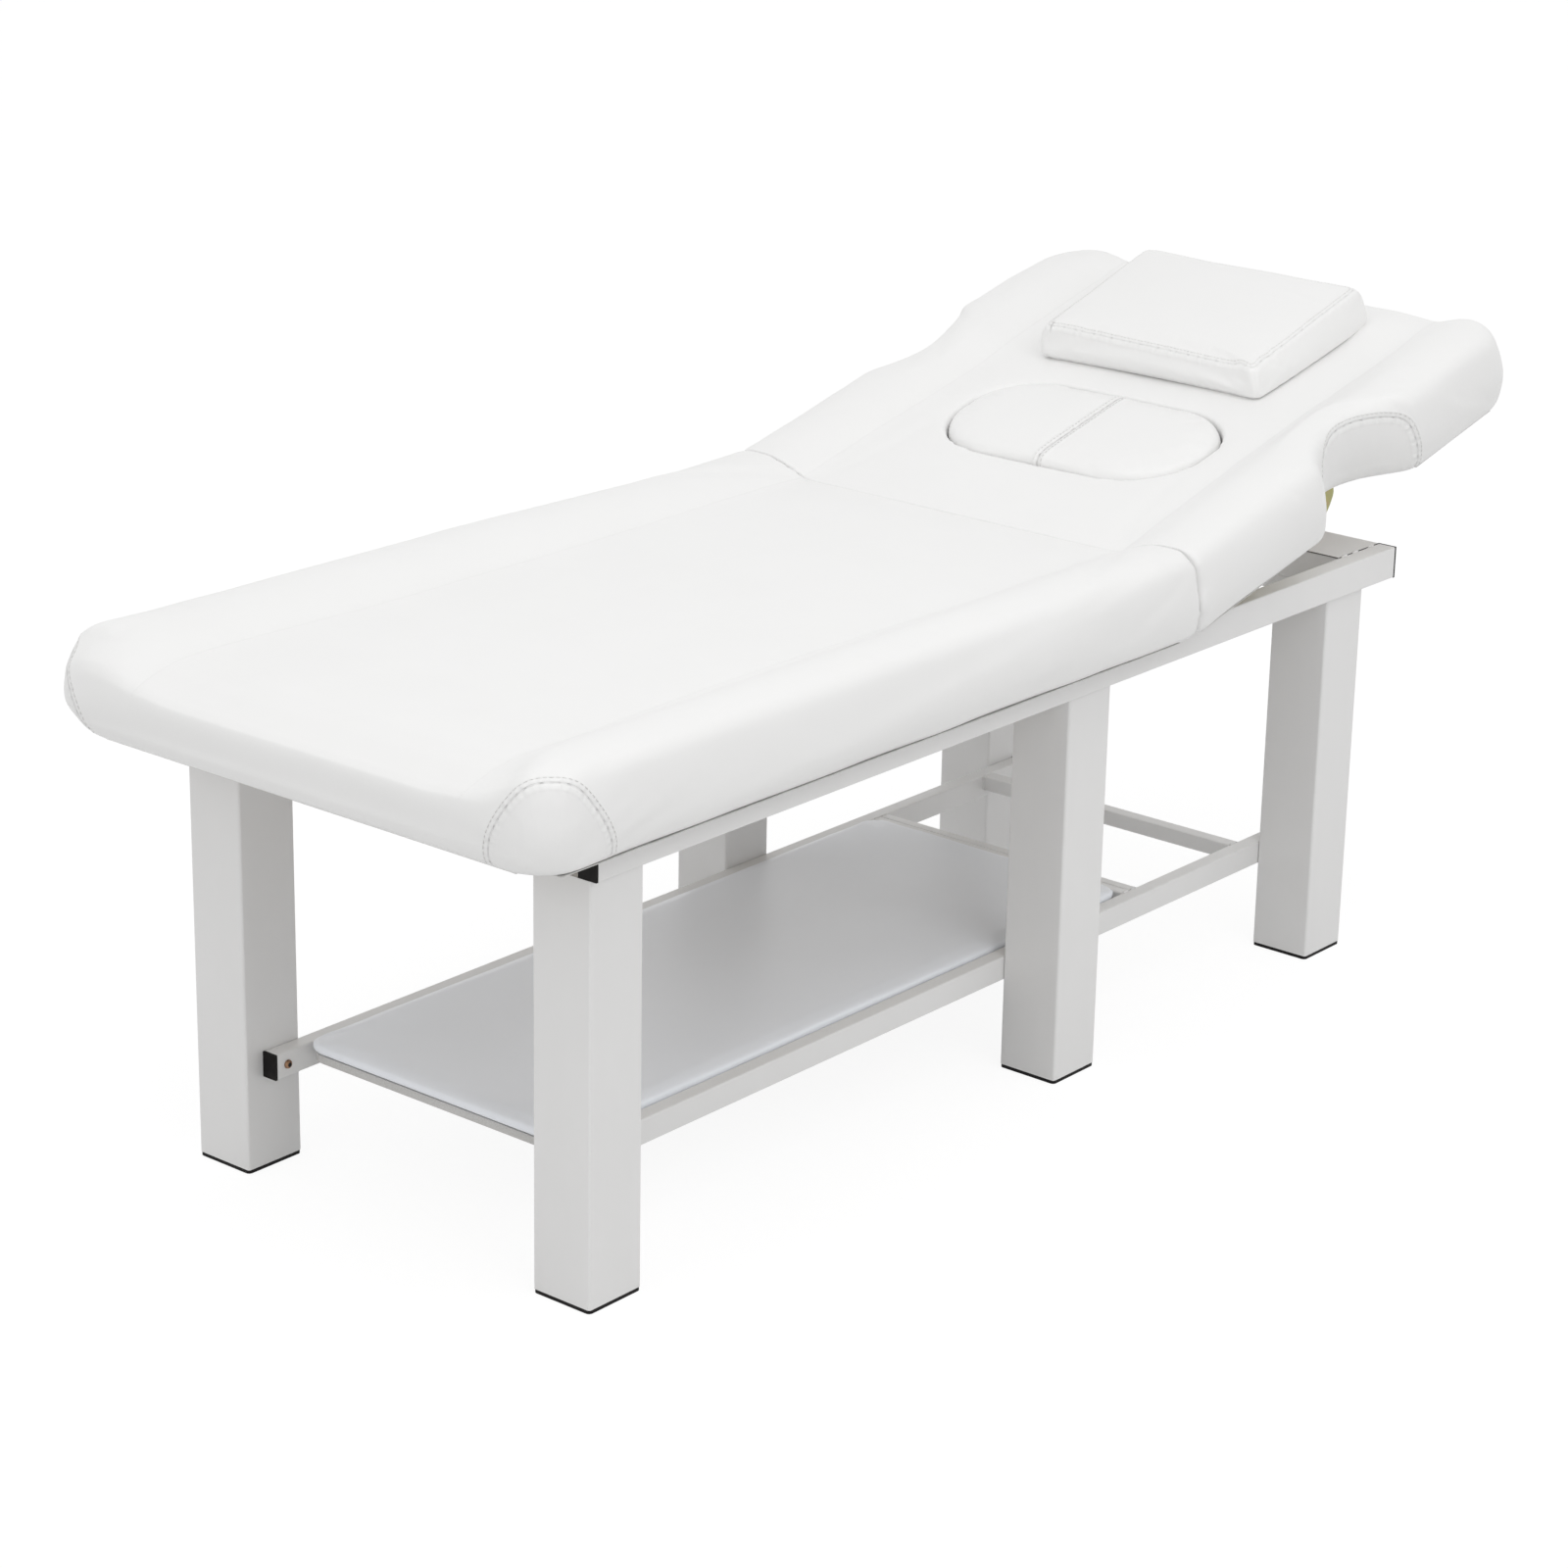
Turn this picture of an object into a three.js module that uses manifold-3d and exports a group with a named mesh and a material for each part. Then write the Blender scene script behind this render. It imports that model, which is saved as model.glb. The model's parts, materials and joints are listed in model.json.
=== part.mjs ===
// Six-legged treatment table with a padded flat section, a tilting head section with a
// face hole and arm notches, a loose pillow, and a padded storage shelf between the legs.
// Millimetres, +Z up, +X towards the head, the near side of the photograph is -Y.
// While it is being built, X = 0 is the foot face of the foot legs and Z = 0 is the floor.
// The finished group is moved along X so that the origin is the middle of its outline.

import * as THREE from "three";
import { mergeVertices, mergeGeometries } from "three/addons/utils/BufferGeometryUtils.js";
import Module from "manifold-3d";

const wasm = await Module();
wasm.setup();

// Driving dimensions: stand
const frameWidth = 594;
const legSection = 80;
const legWall = 2;
const legTopPlate = 4;
const legCornerRadius = 3;
const legTopHeight = 480;
const footToMiddleLeg = 808;
const middleToHeadLeg = 538;
const footPadThickness = 4;
const footPadCornerRadius = 5;
const footPlugDepth = 18;
const footPlugWall = 2.5;

// Driving dimensions: upper rails and their cross tubes
const railWidth = 25;
const railHeight = 40;
const railOverhang = 8;
const railHeadOverhang = 61;
const tubeWall = 1.5;
const tubeCornerRadius = 2;
const crossTubeWidth = 25;
const footCrossInset = 12;
const middleCrossPlace = 470;
const headBeamWidth = 94;
const capThickness = 3;
const capPlugDepth = 10;

// Driving dimensions: lower frame and shelf
const lowerRailWidth = 20;
const lowerRailHeight = 30;
const lowerRailBase = 111;
const lowerRailInset = 28;
const dividerWidth = 15;
const dividerFromMiddleLeg = 267.5;
const lowerHeadBarSize = 20;
const lowerHeadBarFromHeadLeg = 37;
const shelfBarSize = 15;
const shelfBarInset = 42;
const shelfStart = 67;
const shelfBoardThickness = 9;
const shelfPadThickness = 12;
const shelfPadCrown = 3;
const shelfCornerRadius = 22;
const shelfSideClearance = 1;
const shelfPadOverhang = 1.5;
const shelfBoardSideInset = 5;

// Driving dimensions: upholstery and boards
const padSideOverhang = 61;
const padFootOverhang = 130;
const padCornerRadius = 52;
const headPadLength = 728;
const headPadCornerRadius = 68;
const padMiddleThickness = 86;
const padSideRise = 22;
const sideRollWidth = 122;
const boardThickness = 15;
const boardInset = 33;
const boardEndClearance = 14;

// Driving dimensions: tilt and hinge
const hingeFromMiddleLeg = 177;
const restTilt = THREE.MathUtils.degToRad(13.5);
const fullTilt = THREE.MathUtils.degToRad(45);
const hingeDrop = 5;
const foldMargin = THREE.MathUtils.degToRad(1);
const hingeSpread = 400;
const hingeWidth = 90;
const knuckleRadius = 4.4;
const hingePinRadius = 2.2;
const leafThickness = 2;
const leafLength = 42;
const fixedLeafLength = 30;
const knuckleCount = 5;

// Driving dimensions: arm notches and face hole
const notchPlace = 376;
const notchHalfLength = 104;
const notchDepthAtBase = 70;
const notchDepthAtTop = 44;
const faceHolePlace = 268;
const faceHoleLength = 370;
const faceHoleWidth = 199;
const faceHoleRadius = 92;
const faceHoleLedge = 14;
const plugClearance = 1;
const plugRise = 5;

// Driving dimensions: pillow
const pillowPlace = 541;
const pillowToFarSide = 6;
const pillowLength = 344;
const pillowWidth = 256;
const pillowCornerRadius = 22;
const pillowThickness = 52;
const pillowCrown = 6;

// Driving dimensions: prop and its racks
const propPivotPlace = 366;
const propPivotDrop = 20;
const propLength = 270;
const propArmWidth = 20;
const propArmThickness = 5;
const propArmOffset = 264.5;
const propRodRadius = 5;
const propPinRadius = 4;
const studHeadRadius = 6.5;
const studHeadThickness = 3;
const propSeatRise = 19.7;
const bracketThickness = 4;
const bracketLength = 62;
const bracketFlangeWidth = 34;
const rackThickness = 5;
const rackPitch = 18;
const rackToothHeight = 5;
const rackTeeth = 5;
const rackRise = 3.7;

// Driving dimensions: fasteners
const lowerBoltRadius = 3;
const lowerBoltHeadRadius = 5.2;
const lowerBoltHeadHeight = 3.4;
const lowerBoltInset = 43;

// Clearances
const touchGap = 0.3;
const runningGap = 0.4;
const pinClearance = 0.2;
const overrun = 5;

// Places that follow from the driving dimensions
const halfFrame = frameWidth / 2;
const railTop = legTopHeight + railHeight + touchGap;
const railBase = legTopHeight + touchGap;
const railOuter = halfFrame + railOverhang;
const railInner = railOuter - railWidth;
const padBase = railTop + touchGap;
const hingeHeight = padBase - hingeDrop;
const middleLegPlace = footToMiddleLeg;
const headLegPlace = footToMiddleLeg + middleToHeadLeg;
const frameLength = headLegPlace + legSection;
const railLength = frameLength + railHeadOverhang;
const hingePlace = middleLegPlace + hingeFromMiddleLeg;
const dividerPlace = middleLegPlace + dividerFromMiddleLeg;
const lowerHeadBarPlace = headLegPlace - lowerHeadBarFromHeadLeg;
const propSeatHeight = railBase + propSeatRise;
const rackBase = railBase + rackRise;
const padBulgeWidth = frameWidth + 2 * padSideOverhang;
const padHalf = padBulgeWidth / 2;
const lowerRailTop = lowerRailBase + lowerRailHeight;
const lowerRailOuter = halfFrame - legSection - touchGap;
const lowerRailInner = lowerRailOuter - lowerRailWidth;
const hingeCrossPlace = hingePlace - knuckleRadius - touchGap - crossTubeWidth;
const propRack = rackTeeth * rackPitch;

// Materials, one for each finish
const finish = (color, roughness, metalness) =>
  new THREE.MeshStandardMaterial({ color, roughness, metalness });
const paintedSteel = finish(0xe4e2de, 0.42, 0.15);
const blackPlastic = finish(0x1c1a19, 0.55, 0);
const upholstery = finish(0xf3f2ef, 0.45, 0);
const plywood = finish(0xc9a878, 0.75, 0);
const greyBoard = finish(0xb9b7b3, 0.6, 0);
const shelfVinyl = finish(0xe9e9e8, 0.4, 0);
const yellowZinc = finish(0xc9b55a, 0.35, 0.85);
const brassBolt = finish(0x8f6a42, 0.4, 0.85);
const zincSteel = finish(0xb9babb, 0.38, 0.9);

// Solids, joins and cuts
function toSolid(geometry) {
  const bare = geometry.clone();
  bare.deleteAttribute("normal");
  bare.deleteAttribute("uv");
  const merged = mergeVertices(bare, 1e-4);
  return new wasm.Manifold(new wasm.Mesh({
    numProp: 3,
    vertProperties: new Float32Array(merged.attributes.position.array),
    triVerts: new Uint32Array(merged.index.array),
  }));
}

function toGeometry(solid) {
  const mesh = solid.getMesh();
  const geometry = new THREE.BufferGeometry();
  const stride = mesh.numProp;
  const count = mesh.vertProperties.length / stride;
  const positions = new Float32Array(count * 3);
  for (let i = 0; i < count; i += 1) {
    for (let axis = 0; axis < 3; axis += 1) {
      positions[i * 3 + axis] = mesh.vertProperties[i * stride + axis];
    }
  }
  geometry.setAttribute("position", new THREE.BufferAttribute(positions, 3));
  geometry.setIndex(Array.from(mesh.triVerts));
  geometry.computeVertexNormals();
  return geometry;
}

const join = (...geometries) => toGeometry(geometries.map(toSolid).reduce((a, b) => a.add(b)));

function cut(body, ...tools) {
  return toGeometry(tools.map(toSolid).reduce((left, tool) => left.subtract(tool), toSolid(body)));
}

const intersect = (body, tool) => toGeometry(toSolid(body).intersect(toSolid(tool)));

// A box between two corners
function block(low, high) {
  const size = high.map((value, axis) => value - low[axis]);
  return new THREE.BoxGeometry(...size).translate(...low.map((value, axis) => value + size[axis] / 2));
}

function roundedRectangle(width, height, radius) {
  const shape = new THREE.Shape();
  const x = width / 2;
  const y = height / 2;
  shape.moveTo(-x + radius, -y);
  shape.lineTo(x - radius, -y);
  shape.absarc(x - radius, -y + radius, radius, -Math.PI / 2, 0, false);
  shape.lineTo(x, y - radius);
  shape.absarc(x - radius, y - radius, radius, 0, Math.PI / 2, false);
  shape.lineTo(-x + radius, y);
  shape.absarc(-x + radius, y - radius, radius, Math.PI / 2, Math.PI, false);
  shape.lineTo(-x, -y + radius);
  shape.absarc(-x + radius, -y + radius, radius, Math.PI, Math.PI * 1.5, false);
  return shape;
}

const prism = (shape, depth, curveSegments = 3) =>
  new THREE.ExtrudeGeometry(shape, { depth, bevelEnabled: false, curveSegments });

// A hollow rectangular tube along +Z from the origin, centred on its section
function hollowTube(width, height, wall, radius, length) {
  const shape = roundedRectangle(width, height, radius);
  const bore = roundedRectangle(width - 2 * wall, height - 2 * wall, Math.max(radius - wall, wall / 3));
  shape.holes.push(new THREE.Path(bore.getPoints(2)));
  return prism(shape, length, 2);
}

const alongX = (geometry) => geometry.rotateZ(Math.PI / 2).rotateY(Math.PI / 2);
const alongY = (geometry) => geometry.rotateX(-Math.PI / 2);

// A round bar between two heights of an axis, turned onto Y or left on Z
function barZ(radius, low, high, sides = 16) {
  return new THREE.CylinderGeometry(radius, radius, high - low, sides)
    .rotateX(Math.PI / 2)
    .translate(0, 0, (low + high) / 2);
}

function barY(radius, low, high, sides = 16) {
  return new THREE.CylinderGeometry(radius, radius, high - low, sides).translate(0, (low + high) / 2, 0);
}

const model = new THREE.Group();
const headSection = new THREE.Group();
headSection.position.set(hingePlace, 0, hingeHeight);
headSection.rotation.y = -restTilt;
model.add(headSection);

function place(name, geometry, material, parent = model) {
  const mesh = new THREE.Mesh(geometry, material);
  mesh.name = name;
  parent.add(mesh);
  return mesh;
}

const sides = [["near", -1], ["far", 1]];

// Legs: square tubes closed by a top plate that is welded under the rail, with the hole for
// the lower rail's bolt in the inner wall
const legPlaces = [["foot", 0], ["middle", middleLegPlace], ["head", headLegPlace]];
const legCentre = halfFrame - legSection / 2;
const lowerBoltHeight = lowerRailBase + lowerRailHeight / 2;

function lowerBoltPlace(legStart) {
  if (legStart === 0) return lowerBoltInset;
  return legStart === headLegPlace ? frameLength - lowerBoltInset : legStart + legSection / 2;
}

function legGeometry(legStart, side) {
  const height = legTopHeight - footPadThickness - touchGap;
  const base = footPadThickness + touchGap;
  const outer = prism(roundedRectangle(legSection, legSection, legCornerRadius), height, 2)
    .translate(legStart + legSection / 2, side * legCentre, base);
  const inside = legSection / 2 - legWall;
  const bore = block([-inside, -inside, base - overrun], [inside, inside, legTopHeight - legTopPlate])
    .translate(legStart + legSection / 2, side * legCentre, 0);
  const innerFace = halfFrame - legSection;
  const sideHole = barY(lowerBoltRadius + runningGap, -overrun, overrun, 12)
    .translate(lowerBoltPlace(legStart), side * innerFace, lowerBoltHeight);
  return cut(outer, bore, sideHole);
}

// Feet: plastic plugs with a flat pad under the tube's edge and a square collar inside it
function footPlugGeometry(legStart, side) {
  const pad = prism(roundedRectangle(legSection, legSection, footPadCornerRadius), footPadThickness, 3);
  const collarSize = legSection - 2 * (legWall + touchGap);
  const collar = block([-collarSize / 2, -collarSize / 2, footPadThickness / 2],
    [collarSize / 2, collarSize / 2, footPadThickness + footPlugDepth]);
  const hollow = collarSize / 2 - footPlugWall;
  const recess = block([-hollow, -hollow, footPadThickness],
    [hollow, hollow, footPadThickness + footPlugDepth + overrun]);
  return cut(join(pad, collar), recess).translate(legStart + legSection / 2, side * legCentre, 0);
}

for (const [end, legStart] of legPlaces) {
  for (const [sideName, side] of sides) {
    place(`leg_${end}_${sideName}`, legGeometry(legStart, side), paintedSteel);
    place(`foot_plug_${end}_${sideName}`, footPlugGeometry(legStart, side), blackPlastic);
  }
}

// Upper rails: rectangular tubes welded along the tops of the legs
const railCentreY = railOuter - railWidth / 2;
const railTubeStart = capThickness + touchGap;
const railTubeEnd = railLength - capThickness - touchGap;

function upperRailGeometry(side) {
  return alongX(hollowTube(railHeight, railWidth, tubeWall, tubeCornerRadius, railTubeEnd - railTubeStart))
    .rotateX(Math.PI / 2)
    .translate(railTubeStart, side * railCentreY, railBase + railHeight / 2);
}

// Black caps: a flat cover as large as the tube's outline and a plug inside its bore
function capGeometry(width, height, outwards) {
  const cover = block([0, -width / 2, -height / 2], [capThickness, width / 2, height / 2]);
  const inner = tubeWall + touchGap;
  const plug = block([-capPlugDepth, -width / 2 + inner, -height / 2 + inner],
    [capThickness / 2, width / 2 - inner, height / 2 - inner]);
  const cap = join(cover, plug);
  return outwards > 0 ? cap : cap.rotateZ(Math.PI);
}

for (const [sideName, side] of sides) {
  place(`upper_rail_${sideName}`, upperRailGeometry(side), paintedSteel);
  const middle = railBase + railHeight / 2;
  place(`upper_cap_foot_${sideName}`,
    capGeometry(railWidth, railHeight, -1).translate(capThickness, side * railCentreY, middle), blackPlastic);
  place(`upper_cap_head_${sideName}`,
    capGeometry(railWidth, railHeight, 1).translate(railLength - capThickness, side * railCentreY, middle),
    blackPlastic);
}

// Cross tubes between the rails: three under the flat section and a wide beam at the head end
const crossLength = 2 * (railInner - touchGap);

function crossTubeGeometry(start, width) {
  return alongY(hollowTube(width, railHeight, tubeWall, tubeCornerRadius, crossLength))
    .translate(start + width / 2, -crossLength / 2, railBase + railHeight / 2);
}

const crossTubes = [
  ["foot_cross_tube", footCrossInset, crossTubeWidth],
  ["middle_cross_tube", middleCrossPlace, crossTubeWidth],
  ["hinge_cross_tube", hingeCrossPlace, crossTubeWidth],
  ["head_beam", railLength - headBeamWidth, headBeamWidth],
];
for (const [name, start, width] of crossTubes) {
  place(name, crossTubeGeometry(start, width), paintedSteel);
}

// Lower rails on the inner faces of the legs
const lowerRailStart = lowerRailInset;
const lowerRailEnd = frameLength - lowerRailInset;
const lowerRailCentreY = lowerRailOuter - lowerRailWidth / 2;

function lowerRailGeometry(side) {
  const length = lowerRailEnd - lowerRailStart;
  const tube = alongX(hollowTube(lowerRailHeight, lowerRailWidth, tubeWall, tubeCornerRadius, length))
    .rotateX(Math.PI / 2)
    .translate(lowerRailStart, side * lowerRailCentreY, lowerBoltHeight);
  const holes = legPlaces.map(([, legStart]) =>
    barY(lowerBoltRadius + runningGap, -lowerRailWidth, lowerRailWidth, 12)
      .translate(lowerBoltPlace(legStart), side * lowerRailCentreY, lowerBoltHeight));
  return cut(tube, ...holes);
}

for (const [sideName, side] of sides) {
  place(`lower_rail_${sideName}`, lowerRailGeometry(side), paintedSteel);
  const capY = side * lowerRailCentreY;
  place(`lower_cap_foot_${sideName}`, capGeometry(lowerRailWidth, lowerRailHeight, -1)
    .translate(lowerRailStart - touchGap, capY, lowerBoltHeight), blackPlastic);
  place(`lower_cap_head_${sideName}`, capGeometry(lowerRailWidth, lowerRailHeight, 1)
    .translate(lowerRailEnd + touchGap, capY, lowerBoltHeight), blackPlastic);
}

// Cross bars of the lower frame: one under the shelf's foot edge, a pair that closes the
// shelf bay, and one at the head end
const barLength = 2 * (lowerRailInner - touchGap);

function lowerBarGeometry(start, width, height, top) {
  return alongY(hollowTube(width, height, tubeWall, tubeCornerRadius, barLength))
    .translate(start + width / 2, -barLength / 2, top - height / 2);
}

place("shelf_foot_bar",
  lowerBarGeometry(shelfStart + shelfBarInset, shelfBarSize, shelfBarSize, lowerRailBase + shelfBarSize),
  paintedSteel);
place("divider_bar_foot_side",
  lowerBarGeometry(dividerPlace, dividerWidth, lowerRailHeight, lowerRailTop), paintedSteel);
place("divider_bar_head_side",
  lowerBarGeometry(dividerPlace + dividerWidth + touchGap, dividerWidth, lowerRailHeight, lowerRailTop),
  paintedSteel);
place("lower_head_bar",
  lowerBarGeometry(lowerHeadBarPlace, lowerHeadBarSize, lowerHeadBarSize, lowerRailTop), paintedSteel);

// Shelf: a board resting on the foot bar and a thin pad with rolled edges on top of it
const shelfBoardBase = lowerRailBase + shelfBarSize + touchGap;
const shelfPadBase = shelfBoardBase + shelfBoardThickness + touchGap;
const shelfEnd = dividerPlace - shelfSideClearance;
const shelfWidth = 2 * (lowerRailInner - shelfSideClearance);
const shelfMiddle = (shelfStart + shelfEnd) / 2;

const shelfBoardShape = roundedRectangle(shelfEnd - shelfStart - 2 * shelfPadOverhang,
  shelfWidth - 2 * shelfBoardSideInset, shelfCornerRadius);
place("shelf_board",
  prism(shelfBoardShape, shelfBoardThickness, 4).translate(shelfMiddle, 0, shelfBoardBase), greyBoard);

const noRoll = () => 0;

// A pad made of rings: each ring is the outline drawn in towards a spine along X by a
// named inset, at its own height. The side roll swells by the distance from the long sides.
function ringForm(outline, spine, rings, rollAt = noRoll) {
  const half = Math.max(...outline.map((point) => Math.abs(point.y)));
  const positions = [];
  for (const ring of rings) {
    const share = Math.min(ring.inset / half, 1);
    for (const point of outline) {
      const spineX = THREE.MathUtils.clamp(point.x, spine[0], spine[1]);
      const notch = point.notch ? point.notch(ring) : 0;
      const y = Math.sign(point.y) * (Math.abs(point.y) - notch);
      const across = y * (1 - share);
      const rise = ring.height + ring.roll * rollAt(half - Math.abs(point.y) * (1 - share));
      positions.push(spineX + (point.x - spineX) * (1 - share), across, rise);
    }
  }
  const count = outline.length;
  const index = [];
  for (let ring = 0; ring + 1 < rings.length; ring += 1) {
    for (let i = 0; i < count; i += 1) {
      const next = (i + 1) % count;
      const a = ring * count + i;
      const b = ring * count + next;
      const c = (ring + 1) * count + next;
      const d = (ring + 1) * count + i;
      index.push(a, b, c, a, c, d);
    }
  }
  const geometry = new THREE.BufferGeometry();
  geometry.setAttribute("position", new THREE.BufferAttribute(new Float32Array(positions), 3));
  geometry.setIndex(index);
  const merged = mergeVertices(geometry, 1e-4);
  const kept = [];
  const corners = merged.index.array;
  for (let i = 0; i < corners.length; i += 3) {
    const [a, b, c] = [corners[i], corners[i + 1], corners[i + 2]];
    if (a !== b && b !== c && c !== a) kept.push(a, b, c);
  }
  merged.setIndex(kept);
  return merged;
}

// The outline of a pad from one end to the other, with rounded corners at each end and
// more points where an end is asked for them
function padOutline(start, end, half, radius, stations, notchAt, steps = 6, across = []) {
  const points = [];
  const add = (x, y, notch = null) => points.push({ x, y, notch });
  for (const x of stations) add(x, -half, notchAt(x));
  for (let i = 0; i <= steps; i += 1) {
    const angle = -Math.PI / 2 + (i / steps) * Math.PI / 2;
    add(end - radius + radius * Math.cos(angle), -half + radius + radius * Math.sin(angle));
  }
  for (const y of across) add(end, -y);
  for (const y of [...across].reverse()) add(end, y);
  for (let i = 0; i <= steps; i += 1) {
    const angle = (i / steps) * Math.PI / 2;
    add(end - radius + radius * Math.cos(angle), half - radius + radius * Math.sin(angle));
  }
  for (const x of [...stations].reverse()) add(x, half, notchAt(x));
  for (let i = 0; i <= steps; i += 1) {
    const angle = Math.PI / 2 + (i / steps) * Math.PI / 2;
    add(start + radius + radius * Math.cos(angle), half - radius + radius * Math.sin(angle));
  }
  for (const y of across) add(start, y);
  for (const y of [...across].reverse()) add(start, -y);
  for (let i = 0; i <= steps; i += 1) {
    const angle = Math.PI + (i / steps) * Math.PI / 2;
    add(start + radius + radius * Math.cos(angle), -half + radius + radius * Math.sin(angle));
  }
  return points;
}

const noNotch = () => null;

// Thin shelf pad
const shelfPadHalf = shelfWidth / 2;
const shelfPadOutline = padOutline(shelfStart, shelfEnd, shelfPadHalf, shelfCornerRadius,
  [shelfStart + shelfPadHalf, shelfEnd - shelfPadHalf], noNotch, 4);
const shelfPadRingShares = [[1, 0], [0.2, 0], [0.04, 0.12], [0, 0.45], [0.06, 0.75], [0.3, 0.96], [0.6, 1]];
const shelfPadRings = shelfPadRingShares.map(([insetShare, heightShare]) => ({
  inset: insetShare === 1 ? shelfPadHalf : insetShare * shelfPadThickness,
  height: shelfPadBase + heightShare * shelfPadThickness,
  roll: 0,
}));
const shelfPadTop = shelfPadBase + shelfPadThickness + shelfPadCrown;
shelfPadRings.push({ inset: shelfPadHalf * 0.25, height: shelfPadTop, roll: 0 });
shelfPadRings.push({ inset: shelfPadHalf, height: shelfPadTop, roll: 0 });
place("shelf_pad",
  ringForm(shelfPadOutline, [shelfStart + shelfPadHalf, shelfEnd - shelfPadHalf], shelfPadRings), shelfVinyl);

// Bolts of the lower frame: a domed head on the inner face of the rail, a shank through it
function lowerBoltGeometry(legStart, side) {
  const shankEnd = lowerRailWidth + touchGap + legWall + overrun;
  const headShares = [[0, 1], [0.55, 1], [0.88, 0.7], [1, 0.25]];
  const head = headShares.map(([across, along]) =>
    new THREE.Vector2(across * lowerBoltHeadRadius, -touchGap - along * lowerBoltHeadHeight));
  const profile = head.concat(
    new THREE.Vector2(lowerBoltHeadRadius, -touchGap),
    new THREE.Vector2(lowerBoltRadius, -touchGap),
    new THREE.Vector2(lowerBoltRadius, shankEnd),
    new THREE.Vector2(0, shankEnd));
  const bolt = new THREE.LatheGeometry(profile, 14);
  if (side < 0) bolt.rotateZ(Math.PI);
  return bolt.translate(lowerBoltPlace(legStart), side * lowerRailInner, lowerBoltHeight);
}

for (const [end, legStart] of legPlaces) {
  for (const [sideName, side] of sides) {
    place(`lower_bolt_${end}_${sideName}`, lowerBoltGeometry(legStart, side), brassBolt);
  }
}

// Upholstered sections. Heights are measured from the underside of the pad, and the
// shares are of the edge radius, the side roll and the thickness.
const edgeRadius = sideRollWidth * 0.26;
const sideRise = padMiddleThickness;
const padRingShares = [
  [0.5, 0, 0], [0.22, 0.045, 0], [0.09, 0.16, 0], [0, 0.48, 0], [0.07, 0.74, 0.12],
  [0.25, 0.9, 0.42], [0.55, 0.975, 0.78], [1, 1, 0.98],
];
const rollShares = [[0, 1], [0.44, 1], [0.6, 0.9], [0.78, 0.54], [0.92, 0.15], [1, 0]];

function padRings(half) {
  const rings = [{ inset: half, height: 0, roll: 0 }];
  for (const [insetShare, heightShare, rollShare] of padRingShares) {
    const inset = insetShare * edgeRadius;
    rings.push({ inset, height: heightShare * sideRise, roll: rollShare * padSideRise });
  }
  for (const [insetShare] of rollShares.slice(1)) {
    rings.push({ inset: insetShare * sideRollWidth, height: sideRise, roll: padSideRise });
  }
  rings.push({ inset: half, height: sideRise, roll: 0 });
  return rings;
}

// How much of its rise the side roll has at a distance from the pad's long side
function sideRoll(distance) {
  const place = distance / sideRollWidth;
  const next = rollShares.findIndex(([share]) => share > place);
  if (next < 0) return 0;
  const [from, high] = rollShares[Math.max(next - 1, 0)];
  const [to, low] = rollShares[next];
  return THREE.MathUtils.mapLinear(place, from, to, high, low);
}

// The places across an end where its shoulder crosses the inner slope of a side roll
function rollCrossings(half) {
  return rollShares.slice(3).map(([share]) => (half - share * sideRollWidth) / (1 - edgeRadius / half));
}

// A flat pad whose far end runs on past the fold, where it is cut to the fold's slope
const blindLength = padHalf + sideRollWidth;
const footEnd = -padFootOverhang;

function stationsBetween(from, to, count) {
  return Array.from({ length: count + 1 }, (_, i) => from + ((to - from) * i) / count);
}

function flatSectionForm() {
  const blindEnd = hingePlace + blindLength;
  const spine = [footEnd + padHalf, blindEnd - padHalf];
  const outline = padOutline(footEnd, blindEnd, padHalf, padCornerRadius, spine, noNotch, 7,
    rollCrossings(padHalf));
  return ringForm(outline, spine, padRings(padHalf), sideRoll).translate(0, 0, padBase);
}

// The tilting section in its own frame: the hinge axis is its origin and +X its far end.
// The arm notch is a shallow arc that is deeper at the underside than at the top.
const notchShape = (x) => Math.max(0, 1 - ((x - notchPlace) / notchHalfLength) ** 2);

function notchAt(x) {
  const share = notchShape(x);
  if (share === 0) return null;
  return (ring) => {
    const rise = THREE.MathUtils.clamp(ring.height / sideRise, 0, 1);
    const depth = THREE.MathUtils.lerp(notchDepthAtBase, notchDepthAtTop, rise);
    const fade = 1 - THREE.MathUtils.smoothstep(ring.inset, edgeRadius, sideRollWidth);
    return depth * share * (ring.inset >= padHalf ? 0 : fade);
  };
}

function headSectionForm() {
  const blindStart = -blindLength;
  const notchStations = stationsBetween(notchPlace - notchHalfLength, notchPlace + notchHalfLength, 14);
  const stations = [blindStart + padHalf, ...notchStations, headPadLength - padHalf]
    .sort((a, b) => a - b)
    .filter((x, i, all) => i === 0 || x - all[i - 1] > touchGap);
  const outline = padOutline(blindStart, headPadLength, padHalf, headPadCornerRadius, stations, notchAt, 6,
    rollCrossings(padHalf));
  return ringForm(outline, [blindStart + padHalf, headPadLength - padHalf], padRings(padHalf), sideRoll)
    .translate(0, 0, hingeDrop);
}

// A large block whose lower face lies on a plane through a point of the hinge axis: it
// keeps what is on its own side. lean is measured from the vertical towards the foot.
const cutterSize = 2 * railLength;

function keepFootSide(x, z, lean, gap) {
  return block([-cutterSize, -cutterSize, -cutterSize], [-gap, cutterSize, cutterSize])
    .rotateY(-lean)
    .translate(x, 0, z);
}

function keepHeadSide(x, z, lean, gap) {
  return block([gap, -cutterSize, -cutterSize], [cutterSize, cutterSize, cutterSize])
    .rotateY(-lean)
    .translate(x, 0, z);
}

const foldLean = fullTilt / 2 + foldMargin;
const restLean = restTilt / 2;

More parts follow.
